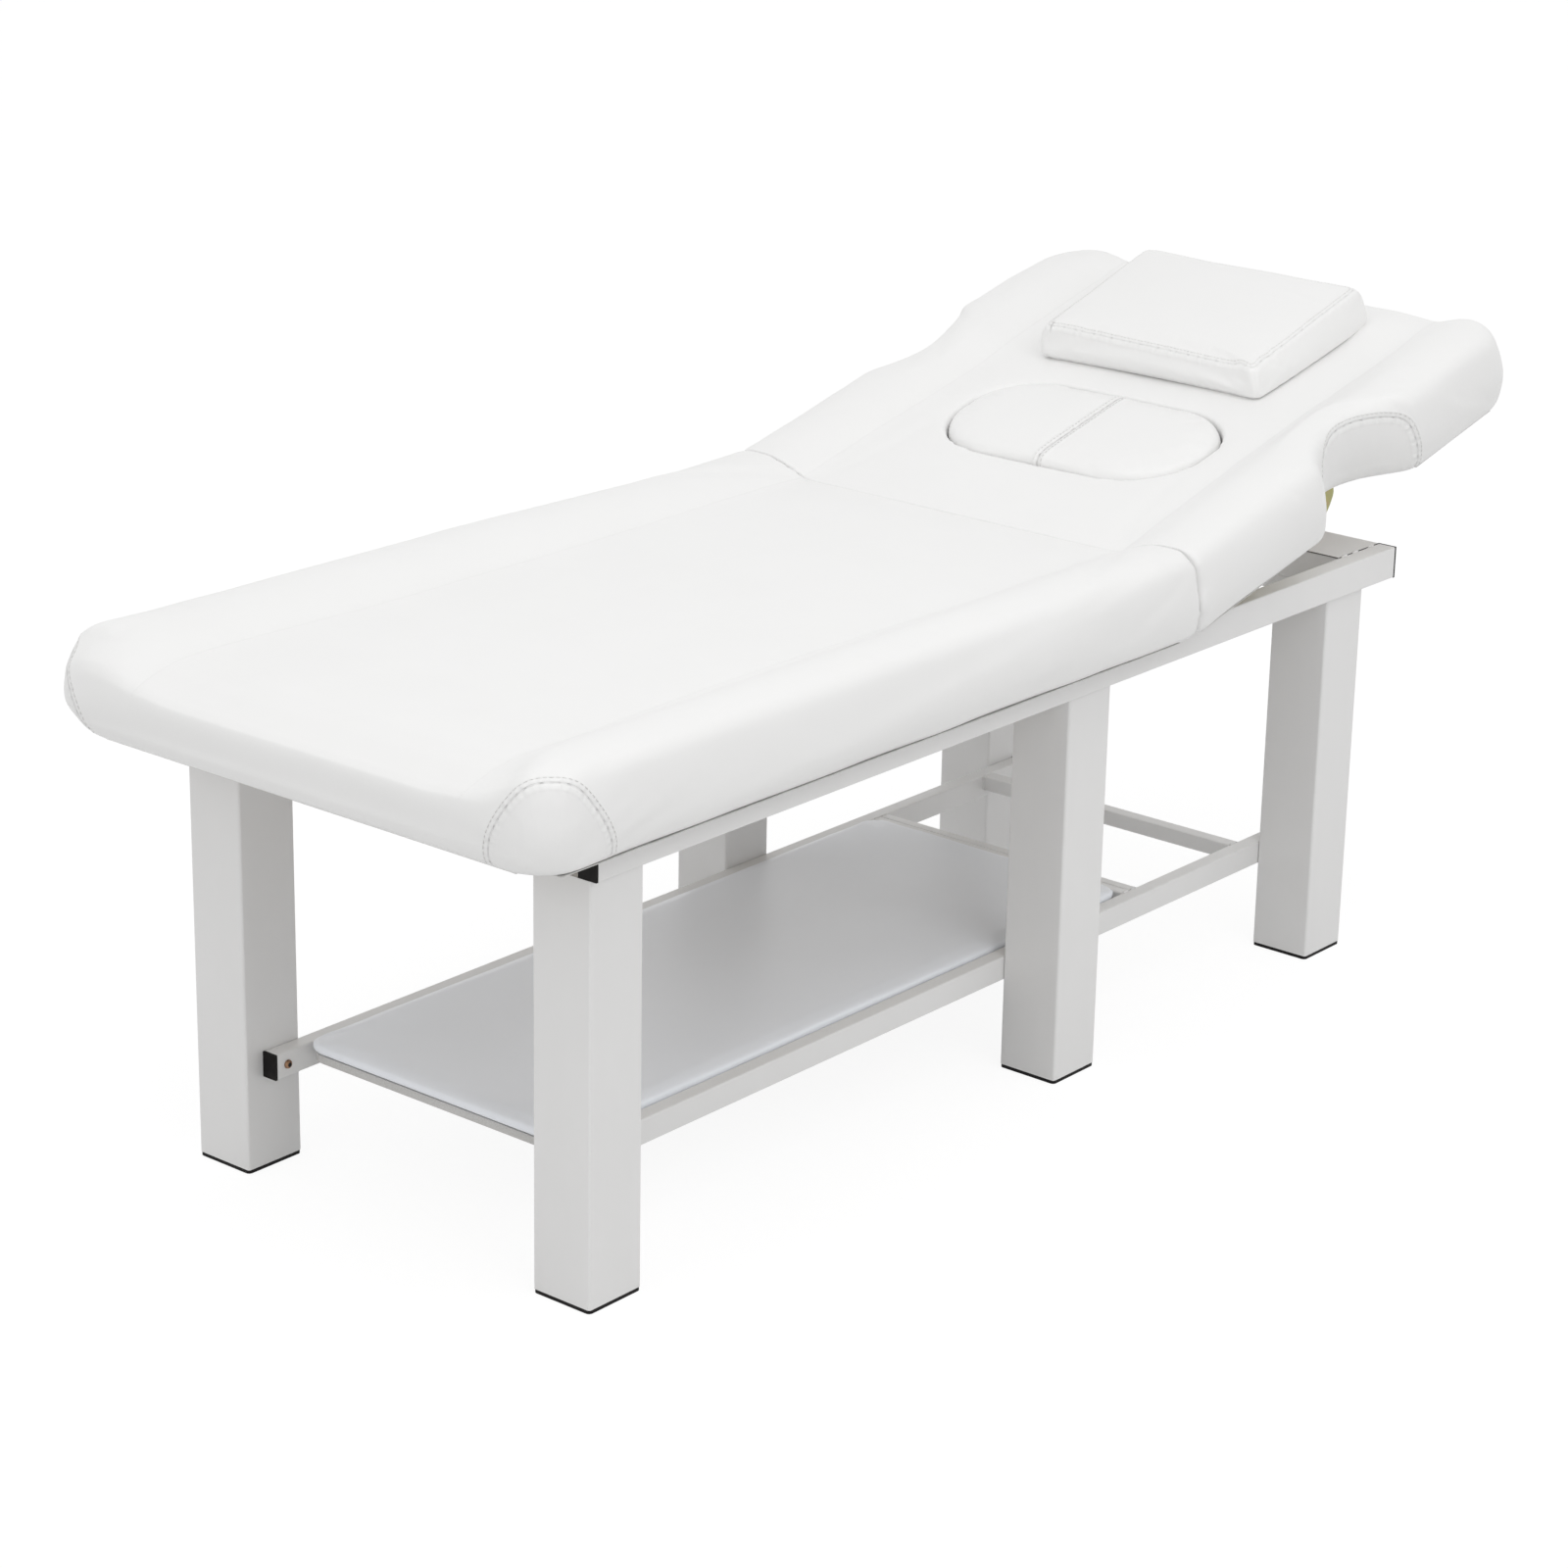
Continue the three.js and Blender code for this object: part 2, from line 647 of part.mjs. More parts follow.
// Boards follow the pads' undersides, drawn in, and stop short of the fold
function boardShape(outlinePoints, half, spine, inset, notchDepth) {
  const share = inset / half;
  const shape = new THREE.Shape();
  outlinePoints.forEach((point, i) => {
    const spineX = THREE.MathUtils.clamp(point.x, spine[0], spine[1]);
    const notch = notchDepth * notchShape(point.x);
    const x = spineX + (point.x - spineX) * (1 - share);
    const y = Math.sign(point.y) * (Math.abs(point.y) - notch) * (1 - share);
    if (i === 0) shape.moveTo(x, y);
    else shape.lineTo(x, y);
  });
  return shape;
}

function flatBoardOutline(inset) {
  const end = hingePlace + padHalf;
  const outline = padOutline(footEnd, end, padHalf, padCornerRadius,
    [footEnd + padHalf, end - padHalf], noNotch, 6);
  const plain = outline.map((point) => ({ x: point.x, y: point.y }));
  const share = inset / padHalf;
  const shape = new THREE.Shape();
  plain.forEach((point, i) => {
    const spineX = THREE.MathUtils.clamp(point.x, footEnd + padHalf, end - padHalf);
    const x = spineX + (point.x - spineX) * (1 - share);
    const y = point.y * (1 - share);
    if (i === 0) shape.moveTo(x, y);
    else shape.lineTo(x, y);
  });
  return shape;
}

function flatBoard(inset, low, high, end) {
  const slab = prism(flatBoardOutline(inset), high - low).translate(0, 0, low);
  return intersect(slab, block([-cutterSize, -cutterSize, low - overrun], [end, cutterSize, high + overrun]));
}

const boardEnd = hingePlace - boardEndClearance;
const flatPad = flatSectionForm();
const flatPocket = flatBoard(boardInset - touchGap, padBase - overrun, padBase + boardThickness + touchGap,
  boardEnd + touchGap);
const flatKeep = keepFootSide(hingePlace, hingeHeight, foldLean, touchGap);
place("bed_cushion", cut(intersect(flatPad, flatKeep), flatPocket), upholstery);
place("bed_board", flatBoard(boardInset, padBase, padBase + boardThickness, boardEnd), plywood);
const bedFold = intersect(intersect(flatPad, keepHeadSide(hingePlace, hingeHeight, foldLean, touchGap)),
  keepFootSide(hingePlace, hingeHeight, restLean, touchGap));
place("bed_cushion_fold", bedFold, upholstery);

// Tilting section: cushion with the face hole, its board, and the foam of its fold
function faceHole(grow, low, high) {
  return prism(roundedRectangle(faceHoleWidth + 2 * grow, faceHoleLength + 2 * grow, faceHoleRadius + grow),
    high - low, 7).translate(faceHolePlace, 0, low);
}

const headStations = stationsBetween(notchPlace - notchHalfLength, notchPlace + notchHalfLength, 14);
const headOutline = padOutline(-blindLength, headPadLength, padHalf, headPadCornerRadius,
  [-blindLength + padHalf, ...headStations, headPadLength - headPadCornerRadius], noNotch, 6);
const headSpine = [-blindLength + padHalf, headPadLength - padHalf];
const headBoardStart = boardEndClearance;

function headBoard(inset, low, high, start) {
  const slab = prism(boardShape(headOutline, padHalf, headSpine, inset, notchDepthAtBase), high - low)
    .translate(0, 0, low);
  const keep = block([start, -cutterSize, low - overrun], [cutterSize, cutterSize, high + overrun]);
  return intersect(slab, keep);
}

const headPad = headSectionForm();
const boardTop = hingeDrop + boardThickness;
const padTop = hingeDrop + padMiddleThickness;
const headPocket = headBoard(boardInset - touchGap, hingeDrop - overrun, boardTop + touchGap,
  headBoardStart - touchGap);
const headKeep = keepHeadSide(0, 0, -foldLean, touchGap);
const headHole = faceHole(0, hingeDrop - overrun, padTop + padSideRise);
place("head_cushion", cut(intersect(headPad, headKeep), headPocket, headHole), upholstery, headSection);
const headFold = intersect(intersect(headPad, keepFootSide(0, 0, -foldLean, touchGap)),
  keepHeadSide(0, 0, -restLean, touchGap));
place("head_cushion_fold", headFold, upholstery, headSection);
place("head_board", cut(headBoard(boardInset, hingeDrop, boardTop, headBoardStart),
  faceHole(-faceHoleLedge, hingeDrop - overrun, boardTop + overrun)), plywood, headSection);

// Face plug: a padded block that rests on the board's ledge round the hole
const plugHalf = faceHoleWidth / 2 - plugClearance;
const plugLength = faceHoleLength - 2 * plugClearance;
const plugBase = boardTop + touchGap;
const plugHeight = padTop + plugRise - plugBase;
const plugRingShares = [
  [0.04, 0], [0.01, 0.03], [0, 0.1], [0, 0.82], [0.03, 0.9], [0.08, 0.945], [0.17, 0.965],
];
const plugRings = [{ inset: plugHalf, height: plugBase, roll: 0 }];
for (const [insetShare, heightShare] of plugRingShares) {
  plugRings.push({ inset: insetShare * plugHalf, height: plugBase + heightShare * plugHeight, roll: 0 });
}
plugRings.push({ inset: plugHalf * 0.55, height: plugBase + plugHeight, roll: 0 });
plugRings.push({ inset: plugHalf, height: plugBase + plugHeight, roll: 0 });
const plugRadius = faceHoleRadius - plugClearance;
const plugOutline = padOutline(-plugLength / 2, plugLength / 2, plugHalf, plugRadius,
  [-plugLength / 2 + plugHalf, plugLength / 2 - plugHalf], noNotch, 7);
const plugForm = ringForm(plugOutline, [-plugLength / 2 + plugHalf, plugLength / 2 - plugHalf], plugRings)
  .rotateZ(Math.PI / 2)
  .translate(faceHolePlace, 0, 0);
place("face_plug", plugForm, upholstery, headSection);

// Pillow: a soft block with a crowned top and slightly drawn-in sides
const pillowHalf = pillowWidth / 2;
const pillowBase = padTop + touchGap;
const pillowRingShares = [
  [0.05, 0, 0], [0.012, 0.1, 0], [0, 0.45, 0], [0.012, 0.8, 0], [0.045, 0.95, 0.1], [0.12, 1, 0.25],
];
const pillowRings = [{ inset: pillowHalf, height: pillowBase, roll: 0 }];
for (const [insetShare, heightShare, crownShare] of pillowRingShares) {
  pillowRings.push({
    inset: insetShare * pillowHalf,
    height: pillowBase + heightShare * pillowThickness + crownShare * pillowCrown,
    roll: 0,
  });
}
const pillowTop = pillowBase + pillowThickness + pillowCrown;
pillowRings.push({ inset: pillowHalf * 0.45, height: pillowTop - pillowCrown * 0.2, roll: 0 });
pillowRings.push({ inset: pillowHalf, height: pillowTop, roll: 0 });
const pillowSpine = [-pillowLength / 2 + pillowHalf, pillowLength / 2 - pillowHalf];
const pillowOutline = padOutline(-pillowLength / 2, pillowLength / 2, pillowHalf, pillowCornerRadius,
  pillowSpine, noNotch, 6);
const pillowForm = ringForm(pillowOutline, pillowSpine, pillowRings).rotateZ(Math.PI / 2);
place("pillow", pillowForm.translate(pillowPlace, pillowToFarSide, 0), upholstery, headSection);

// Hinges: a fixed leaf against the cross tube, a moving leaf under the tilting board, and
// knuckles of each in turn along one pin
const knuckleLength = hingeWidth / knuckleCount;

function knuckles(offset) {
  const rings = [];
  for (let i = offset; i < knuckleCount; i += 2) {
    const low = -hingeWidth / 2 + i * knuckleLength + touchGap / 2;
    rings.push(barY(knuckleRadius, low, low + knuckleLength - touchGap, 16));
  }
  return rings;
}

function knuckleSlots(offset) {
  const slots = [];
  const reach = knuckleRadius + runningGap;
  for (let i = offset; i < knuckleCount; i += 2) {
    const low = -hingeWidth / 2 + i * knuckleLength - touchGap / 2;
    slots.push(block([-reach, low, -reach], [reach, low + knuckleLength + touchGap, reach]));
  }
  return slots;
}

function fixedLeafGeometry() {
  const face = -knuckleRadius;
  const leaf = block([face, -hingeWidth / 2, -fixedLeafLength], [face + leafThickness, hingeWidth / 2, 0]);
  const pin = barY(hingePinRadius, -hingeWidth / 2 - leafThickness, hingeWidth / 2 + leafThickness, 16);
  return join(cut(leaf, ...knuckleSlots(1)), ...knuckles(0), pin);
}

function movingLeafGeometry() {
  const top = hingeDrop - touchGap;
  const leaf = block([0, -hingeWidth / 2, top - leafThickness], [leafLength, hingeWidth / 2, top]);
  const pinHole = barY(hingePinRadius + pinClearance, -hingeWidth, hingeWidth, 16);
  return cut(join(cut(leaf, ...knuckleSlots(0)), ...knuckles(1)), pinHole);
}

for (const [sideName, side] of sides) {
  const y = side * hingeSpread / 2;
  place(`hinge_fixed_leaf_${sideName}`, fixedLeafGeometry().translate(hingePlace, y, hingeHeight), zincSteel);
  place(`hinge_moving_leaf_${sideName}`, movingLeafGeometry().translate(0, y, 0), zincSteel, headSection);
}

// Racks: toothed plates on the inner faces of the rails. The long first notch holds the
// prop's rod both at the lowest position and flat; its foot wall takes the push.
const restPivot = new THREE.Vector2(
  hingePlace + propPivotPlace * Math.cos(restTilt) + propPivotDrop * Math.sin(restTilt),
  hingeHeight + propPivotPlace * Math.sin(restTilt) - propPivotDrop * Math.cos(restTilt));
const propLean = Math.acos((restPivot.y - propSeatHeight) / propLength);
const rodRest = restPivot.x - propLength * Math.sin(propLean);
const rackFloor = propSeatHeight - propRodRadius - touchGap;
const rackWallHeight = rackFloor + 2 * propRodRadius;
const firstNotchFoot = rodRest - propRodRadius - rackPitch / 2;
const firstNotchHead = rodRest + propRodRadius;

function rackShape() {
  const shape = new THREE.Shape();
  const start = firstNotchFoot - rackPitch / 2;
  const end = firstNotchHead + propRack;
  shape.moveTo(start, rackBase);
  shape.lineTo(end, rackBase);
  shape.lineTo(end, rackFloor + rackToothHeight);
  for (let tooth = rackTeeth - 1; tooth >= 0; tooth -= 1) {
    const foot = firstNotchHead + tooth * rackPitch;
    shape.lineTo(foot + rackPitch * 0.12, rackFloor);
    if (tooth > 0) {
      shape.lineTo(foot, rackFloor);
      shape.lineTo(foot, rackFloor + rackToothHeight);
    }
  }
  shape.lineTo(firstNotchFoot, rackFloor);
  shape.lineTo(firstNotchFoot, rackWallHeight);
  shape.lineTo(start, rackWallHeight);
  return shape;
}

for (const [sideName, side] of sides) {
  const low = side > 0 ? railInner - touchGap - rackThickness : -(railInner - touchGap);
  const plate = prism(rackShape(), rackThickness).rotateX(Math.PI / 2).translate(0, low + rackThickness, 0);
  place(`prop_rack_${sideName}`, plate, yellowZinc);
}

// Prop: two flat arms hung from brackets under the tilting board, joined by a rod whose
// ends lie in the racks
const armHalf = propArmThickness / 2;
const bracketOffset = propArmOffset + armHalf + touchGap;
const bracketEnd = propPivotPlace + bracketLength * 0.6;

function bracketGeometry(side) {
  const eyeRadius = propArmWidth / 2 + armHalf * 0.8;
  const shape = new THREE.Shape();
  const top = hingeDrop - touchGap;
  shape.moveTo(bracketEnd, top);
  shape.lineTo(bracketEnd - bracketLength, top);
  shape.lineTo(propPivotPlace - eyeRadius, -propPivotDrop);
  shape.absarc(propPivotPlace, -propPivotDrop, eyeRadius, Math.PI, Math.PI * 1.83, false);
  const ear = prism(shape, bracketThickness, 8).rotateX(Math.PI / 2)
    .translate(0, side > 0 ? bracketOffset + bracketThickness : -bracketOffset, 0);
  const earFace = side * (bracketOffset + bracketThickness);
  const flangeFace = side * (bracketOffset - bracketFlangeWidth);
  const flange = block([bracketEnd - bracketLength, Math.min(earFace, flangeFace), top - bracketThickness],
    [bracketEnd, Math.max(earFace, flangeFace), top]);
  const studRoot = side * bracketOffset;
  const armFace = side * (propArmOffset - armHalf - touchGap);
  const studEnd = armFace - side * studHeadThickness;
  const stud = barY(propPinRadius, Math.min(studRoot, studEnd), Math.max(studRoot, studEnd), 14);
  const head = barY(studHeadRadius, Math.min(armFace, studEnd), Math.max(armFace, studEnd), 14);
  return join(ear, flange, join(stud, head).translate(propPivotPlace, 0, -propPivotDrop));
}

for (const [sideName, side] of sides) {
  place(`prop_bracket_${sideName}`, bracketGeometry(side), yellowZinc, headSection);
}

// The prop hangs in its own group: its origin is the pivot, and it leans to the foot
const prop = new THREE.Group();
prop.position.set(restPivot.x, 0, restPivot.y);
prop.rotation.y = propLean;
model.add(prop);

function armShape() {
  const half = propArmWidth / 2;
  const shape = new THREE.Shape();
  shape.moveTo(half, -propLength);
  shape.lineTo(half, 0);
  shape.absarc(0, 0, half, 0, Math.PI, false);
  shape.lineTo(-half, -propLength);
  shape.absarc(0, -propLength, half, Math.PI, Math.PI * 2, false);
  const pivotHole = new THREE.Path();
  pivotHole.absarc(0, 0, propPinRadius + pinClearance, 0, Math.PI * 2, true);
  const rodHole = new THREE.Path();
  rodHole.absarc(0, -propLength, propRodRadius + touchGap, 0, Math.PI * 2, true);
  shape.holes.push(pivotHole, rodHole);
  return shape;
}

for (const [sideName, side] of sides) {
  const arm = prism(armShape(), propArmThickness, 7).rotateX(Math.PI / 2)
    .translate(0, side * propArmOffset + armHalf, 0);
  place(`prop_arm_${sideName}`, arm, yellowZinc, prop);
}
const rodReach = railInner - 2 * touchGap;
place("prop_rod", barY(propRodRadius, -rodReach, rodReach, 16).translate(0, 0, -propLength), zincSteel, prop);

// The origin goes to the middle of the table's outline, on the floor
model.updateMatrixWorld(true);
const outlineBox = new THREE.Box3().setFromObject(model, true);
model.position.x = -(outlineBox.min.x + outlineBox.max.x) / 2;
model.updateMatrixWorld(true);

export default model;
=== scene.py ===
"""Padded treatment table: the soft parts, fine detail, materials, lights and camera.

Lengths in the tables below are millimetres, as in the part's source, and MM turns them into
metres. Places along the table are measured from the foot face of the foot legs.
"""

import contextlib
import json
import math

import bmesh
import bpy
import numpy as np
from mathutils import Matrix, Vector
from mathutils.bvhtree import BVHTree


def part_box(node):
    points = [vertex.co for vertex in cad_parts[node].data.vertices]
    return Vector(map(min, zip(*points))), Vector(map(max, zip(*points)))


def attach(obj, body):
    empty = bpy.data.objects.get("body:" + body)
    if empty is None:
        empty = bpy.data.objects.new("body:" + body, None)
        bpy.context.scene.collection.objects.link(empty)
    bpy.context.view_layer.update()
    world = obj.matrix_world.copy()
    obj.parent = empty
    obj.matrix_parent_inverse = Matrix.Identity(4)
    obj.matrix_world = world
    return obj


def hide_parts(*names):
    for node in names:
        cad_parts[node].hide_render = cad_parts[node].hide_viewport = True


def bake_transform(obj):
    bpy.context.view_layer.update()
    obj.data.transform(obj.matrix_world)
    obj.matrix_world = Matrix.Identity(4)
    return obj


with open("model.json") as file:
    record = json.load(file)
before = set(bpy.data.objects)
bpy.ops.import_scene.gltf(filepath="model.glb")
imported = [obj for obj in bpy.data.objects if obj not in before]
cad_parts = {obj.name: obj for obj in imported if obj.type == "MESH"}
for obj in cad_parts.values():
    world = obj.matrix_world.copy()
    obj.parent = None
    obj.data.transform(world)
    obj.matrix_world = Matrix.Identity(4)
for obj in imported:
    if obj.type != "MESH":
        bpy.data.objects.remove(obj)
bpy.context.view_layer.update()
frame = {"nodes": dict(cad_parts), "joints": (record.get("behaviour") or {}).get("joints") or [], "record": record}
nodes = frame["nodes"]

MM = 0.001
FOOT_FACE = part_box("leg_foot_near")[0].x
PAD_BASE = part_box("bed_cushion")[0].z
TILT_JOINT = next(joint for joint in frame["joints"] if joint["name"] == "head_tilt")
HINGE = Vector(TILT_JOINT["pos_m"])
REST_TILT = math.radians(13.5)
HINGE_PLACE = 985
HINGE_DROP = 5

# The head section's own frame: +X along it from the hinge axis, +Z up from its underside
SECTION = Matrix.Translation(HINGE) @ Matrix.Rotation(-REST_TILT, 4, "Y")
# The flat section's frame: X from the foot face of the foot legs, Z from the pad's underside
STAND = Matrix.Translation((FOOT_FACE, 0, PAD_BASE))
SECTION_PAD = SECTION @ Matrix.Translation((0, 0, HINGE_DROP * MM))


# Shader maths

class Value:
    """An output socket that takes part in sums: each operator makes its own math node."""

    def __init__(self, shader, socket):
        self.shader = shader
        self.socket = socket

    def math(self, operation, *others):
        return self.shader.math(operation, self, *others)

    def __add__(self, other):
        return self.math("ADD", other)

    def __sub__(self, other):
        return self.math("SUBTRACT", other)

    def __mul__(self, other):
        return self.math("MULTIPLY", other)

    def __abs__(self):
        return self.math("ABSOLUTE")

    def clamp(self):
        return self.shader.made("ShaderNodeClamp", 0, {0: self})

    def ramp(self, low, high, out_low=0.0, out_high=1.0):
        """A smooth step from out_low at low to out_high at high."""
        inputs = dict(enumerate((self, low, high, out_low, out_high)))
        return self.shader.made("ShaderNodeMapRange", 0, inputs, interpolation_type="SMOOTHSTEP")


class Shader:
    """The node tree of one material or of the world."""

    def __init__(self, name, world=None):
        self.owner = world or bpy.data.materials.new(name)
        self.owner.use_nodes = True
        self.tree = self.owner.node_tree
        self.surface = self.tree.nodes["Background" if world else "Principled BSDF"]

    def new(self, kind, **settings):
        made = self.tree.nodes.new(kind)
        for key, value in settings.items():
            setattr(made, key, value)
        return made

    def feed(self, socket, value):
        if isinstance(value, Value):
            self.tree.links.new(value.socket, socket)
        else:
            socket.default_value = value

    def made(self, kind, output, inputs, **settings):
        node = self.new(kind, **settings)
        for key, value in inputs.items():
            self.feed(node.inputs[key], value)
        return Value(self, node.outputs[output])

    def math(self, operation, *values):
        return self.made("ShaderNodeMath", 0, dict(enumerate(values)), operation=operation)

    def stored(self, name, output):
        """An attribute of the mesh: output is Fac for a number and Vector for a place."""
        return self.made("ShaderNodeAttribute", output, {}, attribute_name=name)

    def place(self):
        return self.made("ShaderNodeTexCoord", "Object", {})

    def axes(self, vector):
        node = self.new("ShaderNodeSeparateXYZ")
        self.feed(node.inputs[0], vector)
        return [Value(self, socket) for socket in node.outputs]

    def stretch(self, vector, scale):
        return self.made("ShaderNodeVectorMath", 0, {0: vector, 1: scale}, operation="MULTIPLY")

    def noise(self, vector, scale, detail=2.0, roughness=0.5, distortion=0.0):
        inputs = {"Vector": vector, "Scale": scale, "Detail": detail, "Roughness": roughness,
                  "Distortion": distortion}
        return self.made("ShaderNodeTexNoise", "Fac", inputs)

    def cells(self, vector, scale):
        inputs = {"Vector": vector, "Scale": scale}
        return self.made("ShaderNodeTexVoronoi", "Distance", inputs, feature="SMOOTH_F1")

    def weave(self, vector, pace):
        x, y, _ = self.axes(vector)
        return (x * pace).math("SINE") * (y * pace).math("SINE")

    def on_edges(self):
        """1 on upright faces and 0 on flat ones."""
        up = self.axes(self.made("ShaderNodeNewGeometry", "Normal", {}))[2]
        return abs(up).ramp(0.3, 0.6, 1.0, 0.0)

    def mix(self, factor, first, second):
        return self.made("ShaderNodeMix", 2, {0: factor, 6: first, 7: second}, data_type="RGBA")

    def bump(self, height, distance, strength=1.0, after=None):
        inputs = {"Height": height, "Distance": distance, "Strength": strength}
        if after is not None:
            inputs["Normal"] = after
        return self.made("ShaderNodeBump", 0, inputs)

    def seen_directly(self):
        """0 for the light that falls on things, and 1 for what the camera sees directly, in a
        mirror or through something."""
        seen = self.new("ShaderNodeLightPath")
        camera, glossy, through = (Value(self, seen.outputs[f"Is {kind} Ray"])
                                   for kind in ("Camera", "Glossy", "Transmission"))
        return self.math("MAXIMUM", self.math("MAXIMUM", camera, glossy), through)

    def finish(self, color, roughness, normal, **others):
        others.update(Base_Color=color, Roughness=roughness, Normal=normal)
        for name, value in others.items():
            self.feed(self.surface.inputs[name.replace("_", " ")], value)
        return self.owner


def rgb(*parts):
    return (*parts, 1.0)


# Materials

def vinyl(name, clean, soiled, roughness):
    """Coated fabric: a fine pebble grain, faint draws in the skin, and sewn seams that the mesh stores as a signed
    distance from the seam line and a place along it.
    The seams' grooves and needle holes get painted shade in the colour."""
    shader = Shader(name)
    place = shader.stored("rest", "Vector")
    seam = shader.stored("seam_distance", "Fac")
    along = shader.stored("seam_along", "Fac")
    depth = shader.stored("seam_depth", "Fac")
    row = abs(shader.stored("row_distance", "Fac"))
    near = abs(seam)
    groove = near.ramp(0.0002, 0.0014, 1.0, 0.0) * depth
    lip = near.ramp(0.0012, 0.0035) * near.ramp(0.0065, 0.0095, 1.0, 0.0) * depth
    spacing = (along * 966).math("SINE").ramp(-0.7, 0.2, 0.25, 1.0)
    pricks = row.ramp(0.0003, 0.0011, 1.0, 0.0) * spacing * depth
    gathers = (along * 700).math("SINE") * 0.5 + (along * 431 + 1.3).math("SINE") * 0.5
    pucker = gathers * near.ramp(0.0005, 0.012, 1.0, 0.0) * near.ramp(0.0, 0.001) * depth.ramp(0.2, 0.5)
    pebble = shader.cells(place, 760) * 0.7 + shader.noise(place, 1500, 2, 0.6) * 0.3
    draw = shader.noise(place, 26, 3, 0.55, 0.6)
    tone = shader.noise(place, 3.1, 3, 0.6)
    rub = shader.noise(place, 11, 4, 0.65)
    color = shader.mix((tone * 0.5 + rub * 0.3 - 0.28).clamp(), clean, soiled)
    # painted shade: the colour is darkened in the seam grooves and needle holes, where shade falls
    color = shader.mix(groove * 0.26 + pricks * 0.14, color, rgb(0.4, 0.39, 0.38))
    normal = shader.bump(pebble, 0.00005, 0.5)
    normal = shader.bump(draw, 0.0006, 0.35, normal)
    normal = shader.bump(pucker, 0.0007, 0.7, normal)
    normal = shader.bump(lip * 0.45 - groove - pricks * 0.4, 0.001, 1.0, normal)
    rough = rub * 0.1 + groove * 0.2 + (roughness - 0.05)
    return shader.finish(color, rough, normal, Specular_IOR_Level=0.42)


def hem_fabric(name):
    """The fabric's raw back at the hem: a fine knit."""
    shader = Shader(name)
    place = shader.place()
    knit = shader.weave(place, 5200)
    tone = shader.noise(place, 60, 3, 0.6)
    color = shader.mix(tone.ramp(0.3, 0.7), rgb(0.74, 0.735, 0.72), rgb(0.62, 0.615, 0.6))
    return shader.finish(color, tone * 0.1 + 0.7, shader.bump(knit + tone, 0.0002, 0.6))


def painted(name, color, shaded):
    """Powder coat: orange peel, a little unevenness of tone, and dull rubbed patches."""
    shader = Shader(name)
    place = shader.place()
    peel = shader.noise(place, 430, 2, 0.5)
    dents = shader.noise(place, 34, 2, 0.5)
    tone = shader.noise(place, 4.2, 3, 0.6)
    smear = shader.noise(shader.stretch(place, (9, 9, 2.2)), 2.4, 4, 0.62)
    mixed = shader.mix((tone * 0.55 + smear * 0.45 - 0.25).clamp(), color, shaded)
    normal = shader.bump(peel, 0.00005, 0.6)
    normal = shader.bump(dents, 0.0003, 0.12, normal)
    return shader.finish(mixed, smear * 0.14 + 0.3, normal, Coat_Weight=0.12, Coat_Roughness=0.22)


def moulded(name, color, worn):
    """Moulded black plastic: spark-eroded texture and slightly greyer rubbed patches."""
    shader = Shader(name)
    place = shader.place()
    grain = shader.noise(place, 1700, 3, 0.7)
    rub = shader.noise(place, 46, 3, 0.6)
    mixed = shader.mix(rub.ramp(0.45, 0.8), color, worn)
    return shader.finish(mixed, rub * 0.22 + 0.42, shader.bump(grain, 0.00006, 0.8), Specular_IOR_Level=0.12)


def plated(name, base, tints, roughness, grain_scale, stretch):
    """Plated steel: a fine drawn grain under a plating whose tint drifts."""
    shader = Shader(name)
    place = shader.place()
    grain = shader.noise(shader.stretch(place, stretch), grain_scale, 3, 0.6)
    drift = shader.noise(place, 21, 3, 0.6, 0.8)
    spots = shader.noise(place, 160, 2, 0.5)
    color = shader.mix(drift.ramp(0.35, 0.65), base, tints[0])
    color = shader.mix(spots.ramp(0.52, 0.78) * 0.6, color, tints[1])
    return shader.finish(color, grain * 0.2 + roughness, shader.bump(grain, 0.00004, 0.6), Metallic=1.0)


def plywood(name):
    """Birch plywood: long figure on the faces and thin dark glue lines round the edges."""
    shader = Shader(name)
    place = shader.place()
    across = shader.axes(place)[2]
    edge = shader.on_edges()
    figure = shader.noise(shader.stretch(place, (1.6, 34, 34)), 6, 4, 0.6, 0.9)
    fibre = shader.noise(shader.stretch(place, (8, 240, 240)), 4, 3, 0.6)
    plies = (across * (2 * math.pi / 0.0044)).math("SINE").ramp(0.1, 0.75)
    face = shader.mix(figure.ramp(0.35, 0.7), rgb(0.47, 0.41, 0.33), rgb(0.38, 0.32, 0.25))
    face = shader.mix(fibre.ramp(0.5, 0.8) * 0.4, face, rgb(0.3, 0.24, 0.18))
    color = shader.mix(edge * plies * 0.7, face, rgb(0.2, 0.14, 0.1))
    normal = shader.bump(fibre + plies * edge, 0.0003, 0.5)
    return shader.finish(color, figure * 0.16 + 0.58, normal)


def faced_board(name):
    """Grey melamine board: a printed linen texture and a slightly darker edge."""
    shader = Shader(name)
    place = shader.place()
    edge = shader.on_edges()
    linen = shader.weave(place, 4200)
    chips = shader.noise(place, 520, 3, 0.7)
    tone = shader.noise(place, 6, 3, 0.6)
    color = shader.mix(tone.ramp(0.3, 0.7), rgb(0.66, 0.655, 0.645), rgb(0.6, 0.595, 0.58))
    color = shader.mix(edge * chips.ramp(0.35, 0.7) * 0.5, color, rgb(0.46, 0.44, 0.42))
    return shader.finish(color, tone * 0.12 + 0.42, shader.bump(linen * 0.3 + chips * edge, 0.00012, 0.5))


